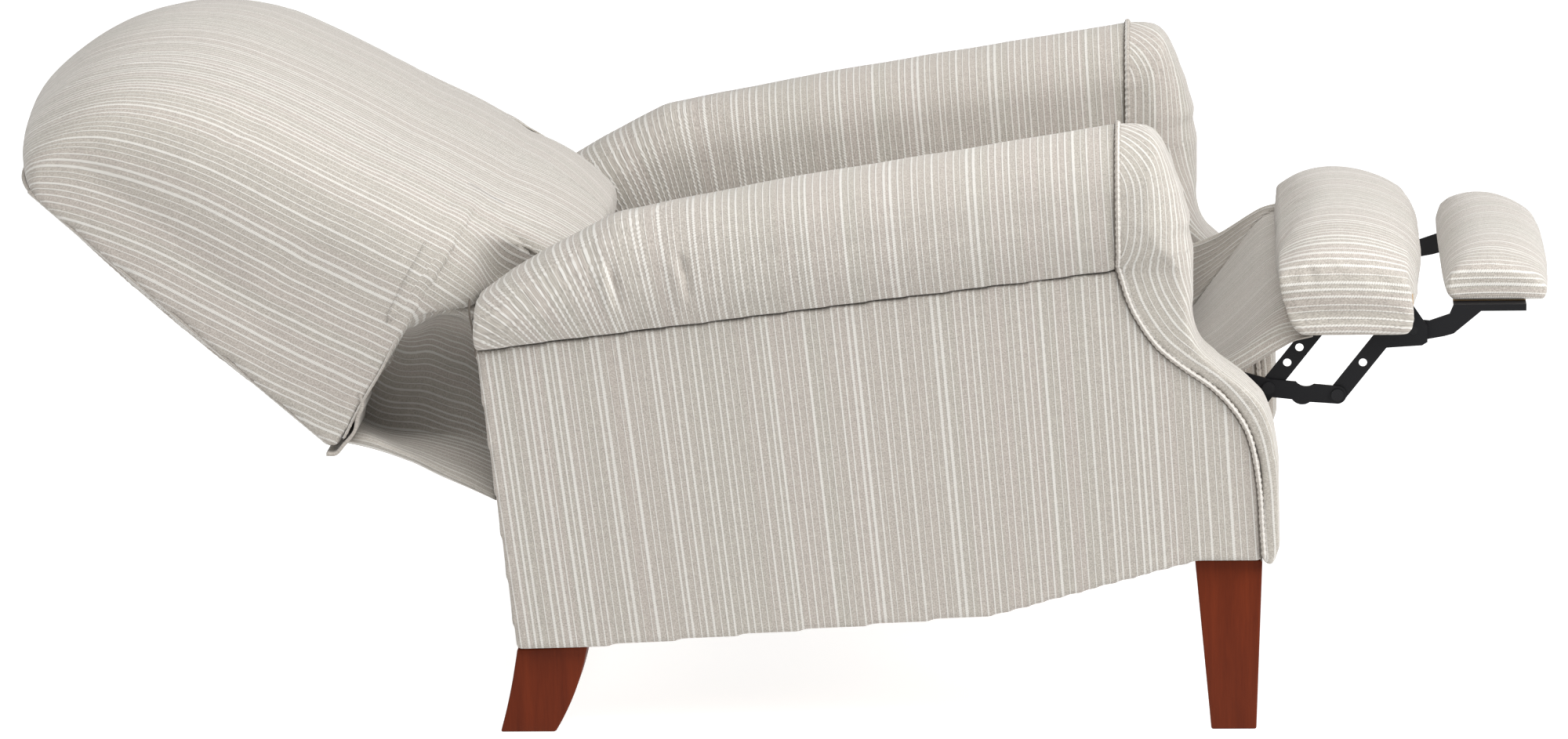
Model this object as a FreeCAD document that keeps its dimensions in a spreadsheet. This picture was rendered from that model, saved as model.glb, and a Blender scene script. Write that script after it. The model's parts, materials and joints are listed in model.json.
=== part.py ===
import FreeCAD, Part
import math
import os
import Sketcher

# Push-back recliner with raised legs, rolled arms and a folding footrest.
# Millimetres. X runs forward, Y to the sitter's left, Z up. The origin is on the
# floor under the middle of the chair, reclined with the footrest out.

# Driving sizes, grouped by the piece that they belong to
DIMENSIONS = {
    # Arm seen from the side
    "arm_rear_top_x": -311.0,
    "arm_rear_bottom_x": -277.0,
    "hem_rear_z": 90.0,
    "hem_rear_run": 74.0,
    "hem_rear_rise": 3.0,
    "hem_middle_x": 224.0,
    "hem_middle_z": 125.0,
    "hem_front_x": 433.0,
    "hem_front_z": 182.0,
    "roll_seam_rear_z": 411.0,
    "roll_seam_front_z": 491.0,
    "facing_seam_x": 356.0,
    "facing_toe_x": 503.0,
    "facing_front_x": 520.0,
    "facing_neck_x": 422.0,
    "facing_neck_z": 390.0,
    "facing_shoulder_z": 265.0,
    # Arm across the chair
    "arm_inner_y": 262.0,
    "arm_outer_y": 365.0,
    "roll_inner_y": 258.0,
    "roll_outer_y": 382.0,
    "outside_cover": 15.0,
    "inside_cover": 13.0,
    "rear_cover": 10.0,
    "side_board": 18.0,
    "arm_post_depth": 42.0,
    "arm_rail_height": 46.0,
    "arm_frame_inset": 12.0,
    "inside_panel_bottom_z": 215.0,
    # Roll crest heights at the places where its slope changes
    "crest_rear_z": 459.0,
    "crest_slope_a_x": -275.0,
    "crest_slope_a_z": 487.0,
    "crest_slope_b_x": -233.0,
    "crest_slope_b_z": 512.0,
    "crest_bend_x": -163.0,
    "crest_bend_z": 549.0,
    "crest_middle_x": 14.0,
    "crest_middle_z": 583.0,
    "crest_front_z": 637.0,
    # Legs
    "front_leg_top": 70.0,
    "front_leg_foot": 47.0,
    "front_leg_x": 468.0,
    "front_leg_foot_x": 472.0,
    "rear_leg_top": 74.0,
    "rear_leg_foot": 58.0,
    "rear_leg_x": -240.0,
    "rear_leg_sweep": 28.0,
    "leg_thickness": 52.0,
    "leg_foot_thickness": 38.0,
    "leg_inset_y": 10.0,
    "leg_bolt": 8.0,
    "leg_bolt_length": 44.0,
    # Cross rails of the base
    "cross_rail_depth": 40.0,
    "cross_rail_top_z": 195.0,
    "front_cross_rail_x": 232.0,
    "front_cross_rail_height": 45.0,
    "rear_cross_rail_x": -208.0,
    "rear_cross_rail_height": 70.0,
    "rear_panel_top_z": 236.0,
    # Mechanism side plates and pivots
    "plate_inner_y": 234.7,
    "plate_thickness": 4.0,
    "back_pivot_x": -173.0,
    "back_pivot_z": 207.0,
    "hub_x": 374.0,
    "hub_z": 377.0,
    "plate_spine_z": 306.0,
    "plate_lobe": 13.0,
    "pin_radius": 4.0,
    "pin_clearance": 0.06,
    "rivet_head": 6.6,
    "rivet_head_height": 2.2,
    "mechanism_rear_x": -263.0,
    "plate_foot_width": 24.0,
    "stop_radius": 6.0,
    "stop_reach": 60.0,
    "stop_play": 0.05,
    "stop_overhang": 2.5,
    "screw_radius": 3.0,
    "screw_head_radius": 5.5,
    "screw_head_height": 3.0,
    "screw_length": 28.0,
    "cross_tube_radius": 11.0,
    "cross_tube_x": 82.0,
    "cross_tube_z": 230.0,
    # Footrest links
    "link_thickness": 3.0,
    "link_width": 19.0,
    "link_gap": 0.4,
    "rear_link_length": 214.0,
    "rear_link_bend_at": 142.0,
    "rear_link_bend_depth": 8.0,
    "rear_link_angle": -12.7,
    "cross_link_angle": 51.5,
    "cross_link_reach": 94.0,
    "cross_link_tail": 70.0,
    "spare_hole_radius": 4.4,
    "torque_tube_radius": 7.0,
    # Footrest, measured from the front link's upper pivot
    "bracket_inner_y": 224.5,
    "bracket_cover": 12.4,
    "bracket_flange": 22.0,
    "bracket_lap": 12.0,
    "bracket_front": 36.0,
    "bracket_depth": 25.0,
    "flip_pivot_dx": 21.5,
    "flip_pivot_dz": -6.6,
    "footrest_board_lap": 23.0,
    "footrest_board_front": 21.0,
    "footrest_board_thickness": 12.0,
    "footrest_board_y": 238.0,
    "footrest_half_width": 252.0,
    "footrest_inner_y": 241.5,
    "footrest_pad_depth": 8.0,
    "footrest_pad_lap": 31.0,
    "footrest_rear_z": 68.0,
    "footrest_front_x": 33.0,
    "footrest_front_z": 72.0,
    "footrest_nose_x": 38.0,
    "footrest_nose_z": 36.5,
    "footrest_crown": 18.0,
    # Extension, measured from the flip pivot
    "flip_arm_inner_y": 217.5,
    "flip_lobe": 11.0,
    "flip_arm_reach": 118.0,
    "flip_arm_start": 42.0,
    "flip_arm_top": 26.0,
    "flip_arm_depth": 7.0,
    "flip_flange_width": 28.0,
    "extension_board_thickness": 6.0,
    "extension_board_y": 200.0,
    "extension_half_width": 205.0,
    "extension_rear_x": 28.0,
    "extension_front_x": 145.0,
    "extension_bottom": 27.0,
    "extension_top": 56.0,
    "extension_crown": 15.0,
    # Seat
    "seat_rear_x": -150.0,
    "seat_overhang": 10.0,
    "seat_side_gap": 8.0,
    "seat_front_height": 82.0,
    "seat_rear_height": 58.0,
    "seat_nose": 4.0,
    "seat_crown": 14.0,
    "seat_rail_inner_y": 207.0,
    "seat_side_rail_bottom_z": 262.0,
    "seat_side_rail_top_z": 320.0,
    "seat_side_rail_front_x": 280.0,
    "seat_front_rail_x": 248.0,
    "seat_front_rail_top_z": 386.0,
    "seat_front_rail_depth": 32.0,
    "seat_rear_rail_depth": 25.0,
    "seat_rear_rail_top_z": 368.0,
    "seat_board_rear_x": 262.0,
    "seat_board_front_x": 392.0,
    "seat_board_y": 224.0,
    "spring_wire_radius": 1.9,
    "seat_spring_half_width": 190.0,
    "seat_spring_swing": 20.0,
    "back_spring_half_width": 170.0,
    # Back, in its own frame: origin at the lower rear corner, x through the
    # thickness towards the sitter, z up along the back
    "back_corner_x": -462.0,
    "back_corner_z": 295.0,
    "back_recline_angle": 48.4,
    "back_height": 488.0,
    "back_half_width": 330.0,
    "neck_side_gap": 12.0,
    "back_foot_depth": 303.0,
    "back_cut_rise": 52.0,
    "back_cut_start": 5.0,
    "back_toe_round": 14.0,
    "back_frame_bottom": 35.0,
    "back_toe_x": 317.0,
    "back_toe_depth": 66.0,
    "back_panel_thickness": 10.0,
    "back_frame_thickness": 38.0,
    "back_frame_foot": 62.0,
    "back_post_inner_y": 233.0,
    "back_post_width": 40.0,
    "back_rail_height": 50.0,
    "back_bracket_thickness": 4.0,
    "back_bracket_width": 26.0,
    "back_bracket_inner_y": 229.0,
    "back_bolt_depth": 22.0,
    "back_bolt_low_z": 112.0,
    "back_bolt_high_z": 180.0,
    "back_cleat": 13.0,
    "back_slot_play": 0.4,
    "back_slot_depth": 68.0,
    "back_bolt_length": 26.0,
    "back_frame_top": 400.0,
    "back_panel_crown": 12.0,
    "back_panel_half_width": 302.0,
    "back_panel_top": 425.0,
    "back_panel_foot": 8.0,
    "back_pocket_slack": 4.3,
    # Fabric pieces that give way when the chair moves
    "cloth_thickness": 2.5,
    "gusset_play": 0.6,
    "flap_half_width": 227.0,
    # Seating gap between soft pieces and what carries them
    "soft_gap": 0.3,
    "overrun": 20.0,
}

# Shares that set how the curves lie between the driving sizes

# Where the arcs of the facing's S-curved seam pass, along and up each of its two bends
SEAM_CURVE_SHARES = {"neck_via": (0.36, 0.57), "shoulder_via": (0.73, 0.59), "roll_lift": 0.1}
# The section of an arm's roll: share of its height, and of its width for the base
ROLL_SHARES = {"low": 0.25, "low_in": 0.0625, "wide": 0.5, "base_outer": 0.86}
# The front of the facing, in thicknesses of its toe
FACING_SHARES = {
    "roll_reach": 1.15, "neck_reach": 0.53,
    "toe_in": 0.4, "toe_drop": 0.3, "toe_rise": 0.8,
    "shoulder_in": 0.9, "shoulder_drop": 2.5,
    "throat_out": 0.75, "throat_rise": 1.55,
    "cheek_drop": 2.0, "cheek_rise": 2.2,
    "brow_in": 0.85, "brow_drop": 1.25,
}
# Rear leg: where the arcs pass along its sweep and height
LEG_SHARES = {"heel_x": 0.55, "heel_z": 0.45, "calf_x": 0.5, "calf_z": 0.62}
# Outline of a side plate, in plate lobes
LOBE_SHARES = {"reach": 1.2, "under": 0.8, "over": 0.5, "top": 0.9, "shoulder": 1.6, "heel": 2.0}
# The rear link's waist, in half widths of a link and in waist depths
WAIST_SHARES = {"depth": 0.4, "top_edge": 0.2, "low_middle": 1.2, "low_edge": 0.3}
# Spare holes along the cross link and the front link
SPARE_SHARES = {"first": 0.35, "second": 0.57, "rise": 0.1, "front": 0.46}
# Where a screw lies across a plate's foot, and a leg bolt across the arm's frame
BOLT_SHARES = {"screw": 0.6, "leg": 0.76}
BRACKET_SHARES = {"corner": 0.707, "waist": 1.8, "waist_z": 0.24, "toe_z": 0.9, "chin_z": 0.76,
                  "cheek_z": 0.08}
# Overrun of the space that the footrest's links need inside the pad
RECESS_SHARES = {"rear": 2, "drop": 3, "front": 4}
FLIP_SHARES = {"neck": 0.4, "neck_top": 0.82, "bend": 0.9, "bend_top": 0.62, "knee": 0.6,
               "under": 0.45, "throat": 0.76, "throat_z": 0.7, "root": 0.3}
# Rounding and swelling of a cushion's sides
PAD_RADIUS_SHARES = {"small": 0.2, "large": 0.42}
SWELL_SHARES = {"nose": 0.12, "rear": 0.25, "front": 0.2}
SEAT_ROUND_SHARES = {"front_low": 1.5, "front_top": 1.9}
# Stations from one end of a cushion to the other: place across, size of its section
PAD_STATION_SHARES = ((-1.0, 0.93), (-0.8, 0.965), (-0.4, 0.995), (0.0, 1.0),
                      (0.4, 0.995), (0.8, 0.965), (1.0, 0.93))
# Stations across the back: place across, depth of the section, height of the section
BACK_STATION_SHARES = (
    (-1.0, 0.60, 0.885), (-0.955, 0.78, 0.912), (-0.85, 0.885, 0.938), (-0.6, 0.955, 0.970),
    (-0.3, 0.99, 0.992), (0.0, 1.0, 1.0), (0.3, 0.99, 0.992), (0.6, 0.955, 0.970),
    (0.85, 0.885, 0.938), (0.955, 0.78, 0.912), (1.0, 0.60, 0.885),
)
NECK_STATION_SHARES = ((-1.0, 0.90), (-0.8, 0.945), (-0.4, 0.988), (0.0, 1.0),
                       (0.4, 0.988), (0.8, 0.945), (1.0, 0.90))
# Section of the back: share of its depth, share of its height
BACK_OUTLINE_SHARES = {
    "rear_top": (0.0, 0.922), "rear_round": (0.035, 0.975), "crest": (0.135, 1.0),
    "crest_round": (0.345, 0.978), "shoulder": (0.53, 0.912), "shoulder_round": (0.68, 0.805),
    "breast": (0.765, 0.705), "breast_round": (0.905, 0.385),
}
NECK_SHARES = {"root": 0.45, "bow": 0.1, "toe_rise": 0.9, "tip": 2}
# Fabric between the base and the back, and between the base and the footrest
GUSSET_SHARES = {"hem": 0.95, "rear_in": 0.12, "sag_x": 0.56, "sag_z": 0.53, "front_in": 0.6,
                 "slack": 3, "lap": 8, "lip": 2}
FLAP_SHARES = {"drop": 0.18, "low_x": 0.25, "middle_x": 0.62, "middle_z": 0.5, "end_x": 0.07,
               "end_z": 0.6, "lip": 0.28}
# Sinuous springs: how many lie side by side, and the full waves of each
SEAT_SPRINGS = 5
SEAT_SPRING_WAVES = 7
BACK_SPRINGS = 4
BACK_SPRING_WAVES = 6
SPRING_END_SHARE = 3

DOUBLE_SHARE = 2
HALF_SHARE = 0.5
RIGHT_ANGLE = 90
QUARTER_SHARE = math.cos(math.pi / 4)
SIDES = (("right", -1), ("left", 1))

doc = FreeCAD.newDocument("recliner")
sheet = doc.addObject("Spreadsheet::Sheet", "Sizes")


class Size:
    """A number together with the formula that binds it to the sheet."""

    def __init__(self, value, formula):
        self.value = float(value)
        self.formula = formula

    def __add__(self, other):
        other = as_size(other)
        return Size(self.value + other.value, f"({self.formula} + {other.formula})")

    def __radd__(self, other):
        return as_size(other) + self

    def __sub__(self, other):
        other = as_size(other)
        return Size(self.value - other.value, f"({self.formula} - {other.formula})")

    def __rsub__(self, other):
        return as_size(other) - self

    def __mul__(self, share):
        share = as_size(share)
        return Size(self.value * share.value, f"({self.formula} * {share.formula})")

    def __rmul__(self, share):
        return self * share

    def __truediv__(self, share):
        share = as_size(share)
        return Size(self.value / share.value, f"({self.formula} / {share.formula})")

    def __neg__(self):
        return Size(-self.value, f"(0 - {self.formula})")


def as_size(number):
    if isinstance(number, Size):
        return number
    return Size(number, repr(float(number)))


class Named:
    """Reads a driving size by its name."""

    def __getattr__(self, name):
        return Size(DIMENSIONS[name], f"Sizes.{name}")


size = Named()

for row, (name, value) in enumerate(DIMENSIONS.items(), start=1):
    sheet.set(f"A{row}", name)
    sheet.set(f"B{row}", str(value))
    sheet.setAlias(f"B{row}", name)
doc.recompute()

ZERO = as_size(0)
parts = {}


# Drawing tools

class Via:
    """A point that an arc passes through between its two ends."""

    def __init__(self, across, up):
        self.point = (as_size(across), as_size(up))


def spot(point):
    return FreeCAD.Vector(point[0].value, point[1].value, 0)


def pin_point(sketch, geometry, vertex, point):
    """Holds a vertex at a place given by two formulas."""
    for kind, place in (("DistanceX", point[0]), ("DistanceY", point[1])):
        constraint = Sketcher.Constraint(kind, -1, 1, geometry, vertex, place.value)
        index = sketch.addConstraint(constraint)
        if "Sizes" in place.formula:
            sketch.setExpression(f"Constraints[{index}]", place.formula)


def draw_outline(sketch, outline):
    """Draws a closed outline of lines and three-point arcs."""
    steps = []
    via = None
    for item in list(outline) + [outline[0]]:
        if isinstance(item, Via):
            via = item.point
            continue
        point = (as_size(item[0]), as_size(item[1]))
        steps.append((point, via))
        via = None
    ends = []
    for (start, _), (end, middle) in zip(steps[:-1], steps[1:]):
        if middle is None:
            edge = sketch.addGeometry(Part.LineSegment(spot(start), spot(end)))
            ends.append((edge, 1, 2, start))
            continue
        edge = sketch.addGeometry(Part.Arc(spot(start), spot(middle), spot(end)))
        first = sketch.getPoint(edge, 1)
        forward = (first - spot(start)).Length < (first - spot(end)).Length
        ends.append((edge, 1 if forward else 2, 2 if forward else 1, start))
        helper = sketch.addGeometry(Part.Point(spot(middle)), True)
        pin_point(sketch, helper, 1, middle)
        sketch.addConstraint(Sketcher.Constraint("PointOnObject", helper, 1, edge))
    for number, (edge, first, last, start) in enumerate(ends):
        following = ends[(number + 1) % len(ends)]
        sketch.addConstraint(Sketcher.Constraint("Coincident", edge, last, following[0], following[1]))
        pin_point(sketch, edge, first, start)


def draw_hole(sketch, centre, radius):
    circle = Part.Circle(spot(centre), FreeCAD.Vector(0, 0, 1), radius.value)
    geometry = sketch.addGeometry(circle)
    pin_point(sketch, geometry, 3, centre)
    index = sketch.addConstraint(Sketcher.Constraint("Radius", geometry, radius.value))
    sketch.setExpression(f"Constraints[{index}]", radius.formula)


def origin_plane(body, role):
    for feature in body.Origin.OriginFeatures:
        if feature.Role == role:
            return feature
    raise ValueError(role)


def new_sketch(body, role, offset):
    sketch = body.newObject("Sketcher::SketchObject", body.Name + "_outline")
    sketch.AttachmentSupport = [(origin_plane(body, role), "")]
    sketch.MapMode = "FlatFace"
    sketch.setExpression("AttachmentOffset.Base.z", offset.formula)
    return sketch


def plate(label, outline, low_y, high_y, holes=()):
    """A piece drawn in the X-Z plane and made solid from low_y to high_y."""
    body = doc.addObject("PartDesign::Body", label)
    body.Label = label
    sketch = new_sketch(body, "XZ_Plane", -as_size(high_y))
    draw_outline(sketch, outline)
    for centre, radius in holes:
        draw_hole(sketch, (as_size(centre[0]), as_size(centre[1])), as_size(radius))
    pad = body.newObject("PartDesign::Pad", label + "_pad")
    pad.Profile = sketch
    pad.setExpression("Length", (as_size(high_y) - as_size(low_y)).formula)
    sketch.Visibility = False
    body.Tip = pad
    return body


def keep(label, item):
    parts[label] = item
    return item


def span(side, inner, outer):
    """The Y range of a piece that lies from inner to outer on one side."""
    inner = as_size(inner)
    outer = as_size(outer)
    return (-outer, -inner) if side < 0 else (inner, outer)


def rectangle(low_x, low_z, high_x, high_z):
    return [(low_x, low_z), (high_x, low_z), (high_x, high_z), (low_x, high_z)]


def capsule(length, half_width):
    return [
        (ZERO, half_width),
        (length, half_width),
        Via(length + half_width, ZERO),
        (length, -half_width),
        (ZERO, -half_width),
        Via(-half_width, ZERO),
    ]


def place(item, x, z, tilt=0.0):
    """Moves a piece to (x, z) and turns its own X axis up by tilt degrees."""
    turn = FreeCAD.Rotation(FreeCAD.Vector(0, 1, 0), -tilt)
    item.Placement = FreeCAD.Placement(FreeCAD.Vector(x, 0, z), turn)
    return item


def rod(label, x, z, radius, low_y, high_y):
    """A round bar along Y."""
    bar = doc.addObject("Part::Cylinder", label)
    bar.setExpression("Radius", radius.formula)
    bar.setExpression("Height", (high_y - low_y).formula)
    along_y = FreeCAD.Rotation(FreeCAD.Vector(1, 0, 0), -RIGHT_ANGLE)
    bar.Placement = FreeCAD.Placement(FreeCAD.Vector(x, low_y.value, z), along_y)
    return bar


def group(label, items):
    """Several like solids kept in one node."""
    compound = doc.addObject("Part::Compound", label)
    compound.Label = label
    compound.Links = items
    return compound


def solid_feature(label, shape):
    feature = doc.addObject("Part::Feature", label)
    feature.Label = label
    feature.Shape = shape
    return feature


def join(label, items):
    fused = doc.addObject("Part::MultiFuse", label)
    fused.Label = label
    fused.Shapes = items
    return fused


# Soft solids: closed lofts through sections of lines and arcs

def arc_through(start, middle, end):
    return Part.Arc(start, middle, end).toShape()


def soft_wire(corners, radii, bulges, to_space):
    """A closed section with rounded corners and sides that swell by a bulge."""
    count = len(corners)
    flat = [FreeCAD.Vector(x, z, 0) for x, z in corners]
    leave = []
    enter = []
    round_middles = []
    for number, corner in enumerate(flat):
        back = (flat[number - 1] - corner).normalize()
        onward = (flat[(number + 1) % count] - corner).normalize()
        half_angle = back.getAngle(onward) * HALF_SHARE
        reach = radii[number] / math.tan(half_angle)
        enter.append(corner + back * reach)
        leave.append(corner + onward * reach)
        bisector = (back + onward).normalize()
        centre_distance = radii[number] / math.sin(half_angle)
        round_middles.append(corner + bisector * (centre_distance - radii[number]))
    edges = []
    for number in range(count):
        following = (number + 1) % count
        edges.append(arc_through(
            to_space(enter[number]), to_space(round_middles[number]), to_space(leave[number])))
        start = leave[number]
        end = enter[following]
        direction = (end - start).normalize()
        outward = FreeCAD.Vector(direction.y, -direction.x, 0)
        if bulges[number] == 0:
            edges.append(Part.makeLine(to_space(start), to_space(end)))
            continue
        middle = (start + end) * HALF_SHARE + outward * bulges[number]
        edges.append(arc_through(to_space(start), to_space(middle), to_space(end)))
    return Part.Wire(edges)


def section_at(y):
    return lambda flat: FreeCAD.Vector(flat.x, y, flat.y)


def box_shape(low, high):
    corner = FreeCAD.Vector(*low)
    extent = FreeCAD.Vector(*high) - corner
    return Part.makeBox(extent.x, extent.y, extent.z, corner)


# Arms: outlines in the X-Z plane

def hem_height(x):
    """Height of the hem over the rear leg."""
    return size.hem_rear_z + size.hem_rear_rise * ((x - size.arm_rear_bottom_x) / size.hem_rear_run)


def rear_edge_x(z):
    """Place of the arm's leaning rear edge at a height."""
    run = size.arm_rear_top_x - size.arm_rear_bottom_x
    rise = size.roll_seam_rear_z - size.hem_rear_z
    return size.arm_rear_bottom_x + run * ((z - size.hem_rear_z) / rise)


def rear_inner(z):
    """A point on the front face of the arm's rear panel."""
    return (rear_edge_x(z) + size.rear_cover, z)


def rear_inner_top():
    """Where the front face of the rear panel meets the roll's seam."""
    lean_share = ((size.arm_rear_top_x - size.arm_rear_bottom_x)
                  / (size.roll_seam_rear_z - size.hem_rear_z))
    seam_share = ((size.roll_seam_front_z - size.roll_seam_rear_z)
                  / (size.facing_seam_x - size.arm_rear_top_x))
    reach = size.rear_cover / (1 - lean_share * seam_share)
    return (size.arm_rear_top_x + reach, size.roll_seam_rear_z + seam_share * reach)


def rear_inner_foot():
    """Where the front face of the rear panel meets the hem."""
    return rear_inner(hem_height(size.arm_rear_bottom_x + size.rear_cover))


def hem_outline(inset):
    """Rear and lower edge of the arm, from the roll seam down and forward."""
    return [
        (size.arm_rear_top_x, size.roll_seam_rear_z),
        (size.arm_rear_bottom_x, size.hem_rear_z + inset),
        (size.arm_rear_bottom_x + size.hem_rear_run, size.hem_rear_z + size.hem_rear_rise + inset),
        (size.hem_middle_x, size.hem_middle_z + inset),
        (size.hem_front_x, size.hem_front_z + inset),
    ]


def seam_curve(inset):
    """S-curved seam of the front facing, from the hem up to the roll."""
    toe_x = size.facing_toe_x - inset
    shoulder_x = size.facing_toe_x - inset - inset * HALF_SHARE
    neck_share = SEAM_CURVE_SHARES["neck_via"]
    shoulder_share = SEAM_CURVE_SHARES["shoulder_via"]
    neck_run = size.facing_neck_x - size.facing_seam_x
    neck_rise = size.roll_seam_front_z - size.facing_neck_z
    shoulder_run = size.facing_toe_x - size.facing_neck_x
    shoulder_rise = size.facing_neck_z - size.facing_shoulder_z
    return [
        (toe_x, size.hem_front_z + inset),
        (shoulder_x, size.facing_shoulder_z),
        Via(size.facing_neck_x + shoulder_run * shoulder_share[0] - inset,
            size.facing_shoulder_z + shoulder_rise * shoulder_share[1] - inset),
        (size.facing_neck_x - inset, size.facing_neck_z - inset),
        Via(size.facing_seam_x + neck_run * neck_share[0] - inset,
            size.facing_neck_z + neck_rise * (1 - neck_share[1]) - inset),
        (size.facing_seam_x - inset, size.roll_seam_front_z - inset * SEAM_CURVE_SHARES["roll_lift"]),
    ]


def seam_height(x):
    """Height of the roll's lower seam at a place along the arm."""
    run = size.facing_seam_x - size.arm_rear_top_x
    rise = size.roll_seam_front_z - size.roll_seam_rear_z
    return size.roll_seam_rear_z + rise * ((x - size.arm_rear_top_x) / run)


frame_inset = size.arm_frame_inset
board_outer = size.arm_outer_y - size.outside_cover
board_inner = board_outer - size.side_board
frame_inner = size.arm_inner_y + size.inside_cover
neck_half_width = size.arm_inner_y - size.neck_side_gap


def roll_wire(x, seam_z, crest_z, inner_y, outer_y, base_outer_y, side):
    """D-shaped section of the roll at a place along the arm."""
    tall = crest_z - seam_z
    middle_y = (inner_y + outer_y) * HALF_SHARE
    inner_base_y = size.arm_inner_y.value
    low_z = seam_z + tall * ROLL_SHARES["low"]
    wide_z = seam_z + tall * ROLL_SHARES["wide"]
    top_z = wide_z + (crest_z - wide_z) * QUARTER_SHARE
    low_in_share = ROLL_SHARES["low_in"]
    points = {
        "base_outer": (base_outer_y, seam_z),
        "low_outer": (outer_y - (outer_y - base_outer_y) * low_in_share, low_z),
        "wide_outer": (outer_y, wide_z),
        "top_outer": (middle_y + (outer_y - middle_y) * QUARTER_SHARE, top_z),
        "crest": (middle_y, crest_z),
        "top_inner": (middle_y - (middle_y - inner_y) * QUARTER_SHARE, top_z),
        "wide_inner": (inner_y, wide_z),
        "low_inner": (inner_y + (inner_base_y - inner_y) * low_in_share, low_z),
        "base_inner": (inner_base_y, seam_z),
    }
    corner = {name: FreeCAD.Vector(x, side * y, z) for name, (y, z) in points.items()}
    return Part.Wire([
        arc_through(corner["base_outer"], corner["low_outer"], corner["wide_outer"]),
        arc_through(corner["wide_outer"], corner["top_outer"], corner["crest"]),
        arc_through(corner["crest"], corner["top_inner"], corner["wide_inner"]),
        arc_through(corner["wide_inner"], corner["low_inner"], corner["base_inner"]),
        Part.makeLine(corner["base_inner"], corner["base_outer"]),
    ])


roll_base_outer = (size.roll_inner_y
                   + (size.roll_outer_y - size.roll_inner_y) * ROLL_SHARES["base_outer"])


def roll_section(x, crest, side):
    seam = seam_height(x)
    return roll_wire(x.value, seam.value, crest.value, size.roll_inner_y.value,
                     size.roll_outer_y.value, roll_base_outer.value, side)


def build_roll(name, side):
    stations = [
        (size.arm_rear_top_x, size.crest_rear_z),
        (size.crest_slope_a_x, size.crest_slope_a_z),
        (size.crest_slope_b_x, size.crest_slope_b_z),
        (size.crest_bend_x, size.crest_bend_z),
        (size.crest_middle_x, size.crest_middle_z),
        (size.facing_seam_x, size.crest_front_z),
    ]
    wires = [roll_section(x, crest, side) for x, crest in stations]
    return keep(f"arm_roll_{name}", solid_feature(f"arm_roll_{name}", Part.makeLoft(wires, True, True)))


def facing_side_outline():
    """The facing seen from the side: seam curve behind, front curve ahead."""
    share = FACING_SHARES
    front_at_roll = (size.facing_seam_x
                     + (size.facing_neck_x - size.facing_seam_x) * share["roll_reach"])
    thickness = size.facing_front_x - size.facing_toe_x
    neck_front_x = (size.facing_neck_x
                    + (size.facing_front_x - size.facing_neck_x) * share["neck_reach"])
    return [
        (size.facing_toe_x, size.hem_front_z),
        (size.facing_front_x - thickness * share["toe_in"],
         size.hem_front_z - thickness * share["toe_drop"]),
        (size.facing_front_x, size.hem_front_z + thickness * share["toe_rise"]),
        (size.facing_front_x, size.facing_shoulder_z),
        Via(size.facing_front_x - thickness * share["shoulder_in"],
            size.facing_neck_z - thickness * share["shoulder_drop"]),
        (neck_front_x, size.facing_neck_z),
        Via(front_at_roll + thickness * share["throat_out"],
            size.facing_neck_z + thickness * share["throat_rise"]),
        (front_at_roll, size.roll_seam_front_z - thickness * share["cheek_drop"]),
        (front_at_roll, size.roll_seam_front_z + thickness * share["cheek_rise"]),
        Via(front_at_roll - thickness * share["brow_in"],
            size.crest_front_z - thickness * share["brow_drop"]),
        (size.facing_seam_x + thickness, size.crest_front_z),
        (size.facing_seam_x, size.crest_front_z),
    ] + seam_curve(ZERO)[:0:-1]


def facing_front_shape(side):
    """The facing seen from the front: a roll over a straight panel."""
    seam = size.roll_seam_front_z.value
    low = (size.hem_front_z - size.overrun).value
    rear = size.facing_seam_x.value
    reach = (size.facing_front_x - size.facing_seam_x + size.overrun).value
    roll = roll_wire(rear, seam, size.crest_front_z.value, size.roll_inner_y.value,
                     size.roll_outer_y.value, roll_base_outer.value, side)
    forward = FreeCAD.Vector(reach, 0, 0)
    upper = Part.Face(roll).extrude(forward)
    y_values = sorted((side * size.arm_inner_y.value, side * size.arm_outer_y.value))
    lower = box_shape((rear, y_values[0], low), (rear + reach, y_values[1], seam))
    return upper.fuse(lower).removeSplitter()


def build_facing(name, side):
    low_y, high_y = span(side, size.roll_inner_y - size.overrun, size.roll_outer_y + size.overrun)
    side_view = plate(f"facing_side_view_{name}", facing_side_outline(), low_y, high_y)
    front_view = solid_feature(f"facing_front_view_{name}", facing_front_shape(side))
    facing = doc.addObject("Part::Common", f"arm_front_facing_{name}")
    facing.Base = side_view
    facing.Tool = front_view
    return keep(f"arm_front_facing_{name}", facing)


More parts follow.
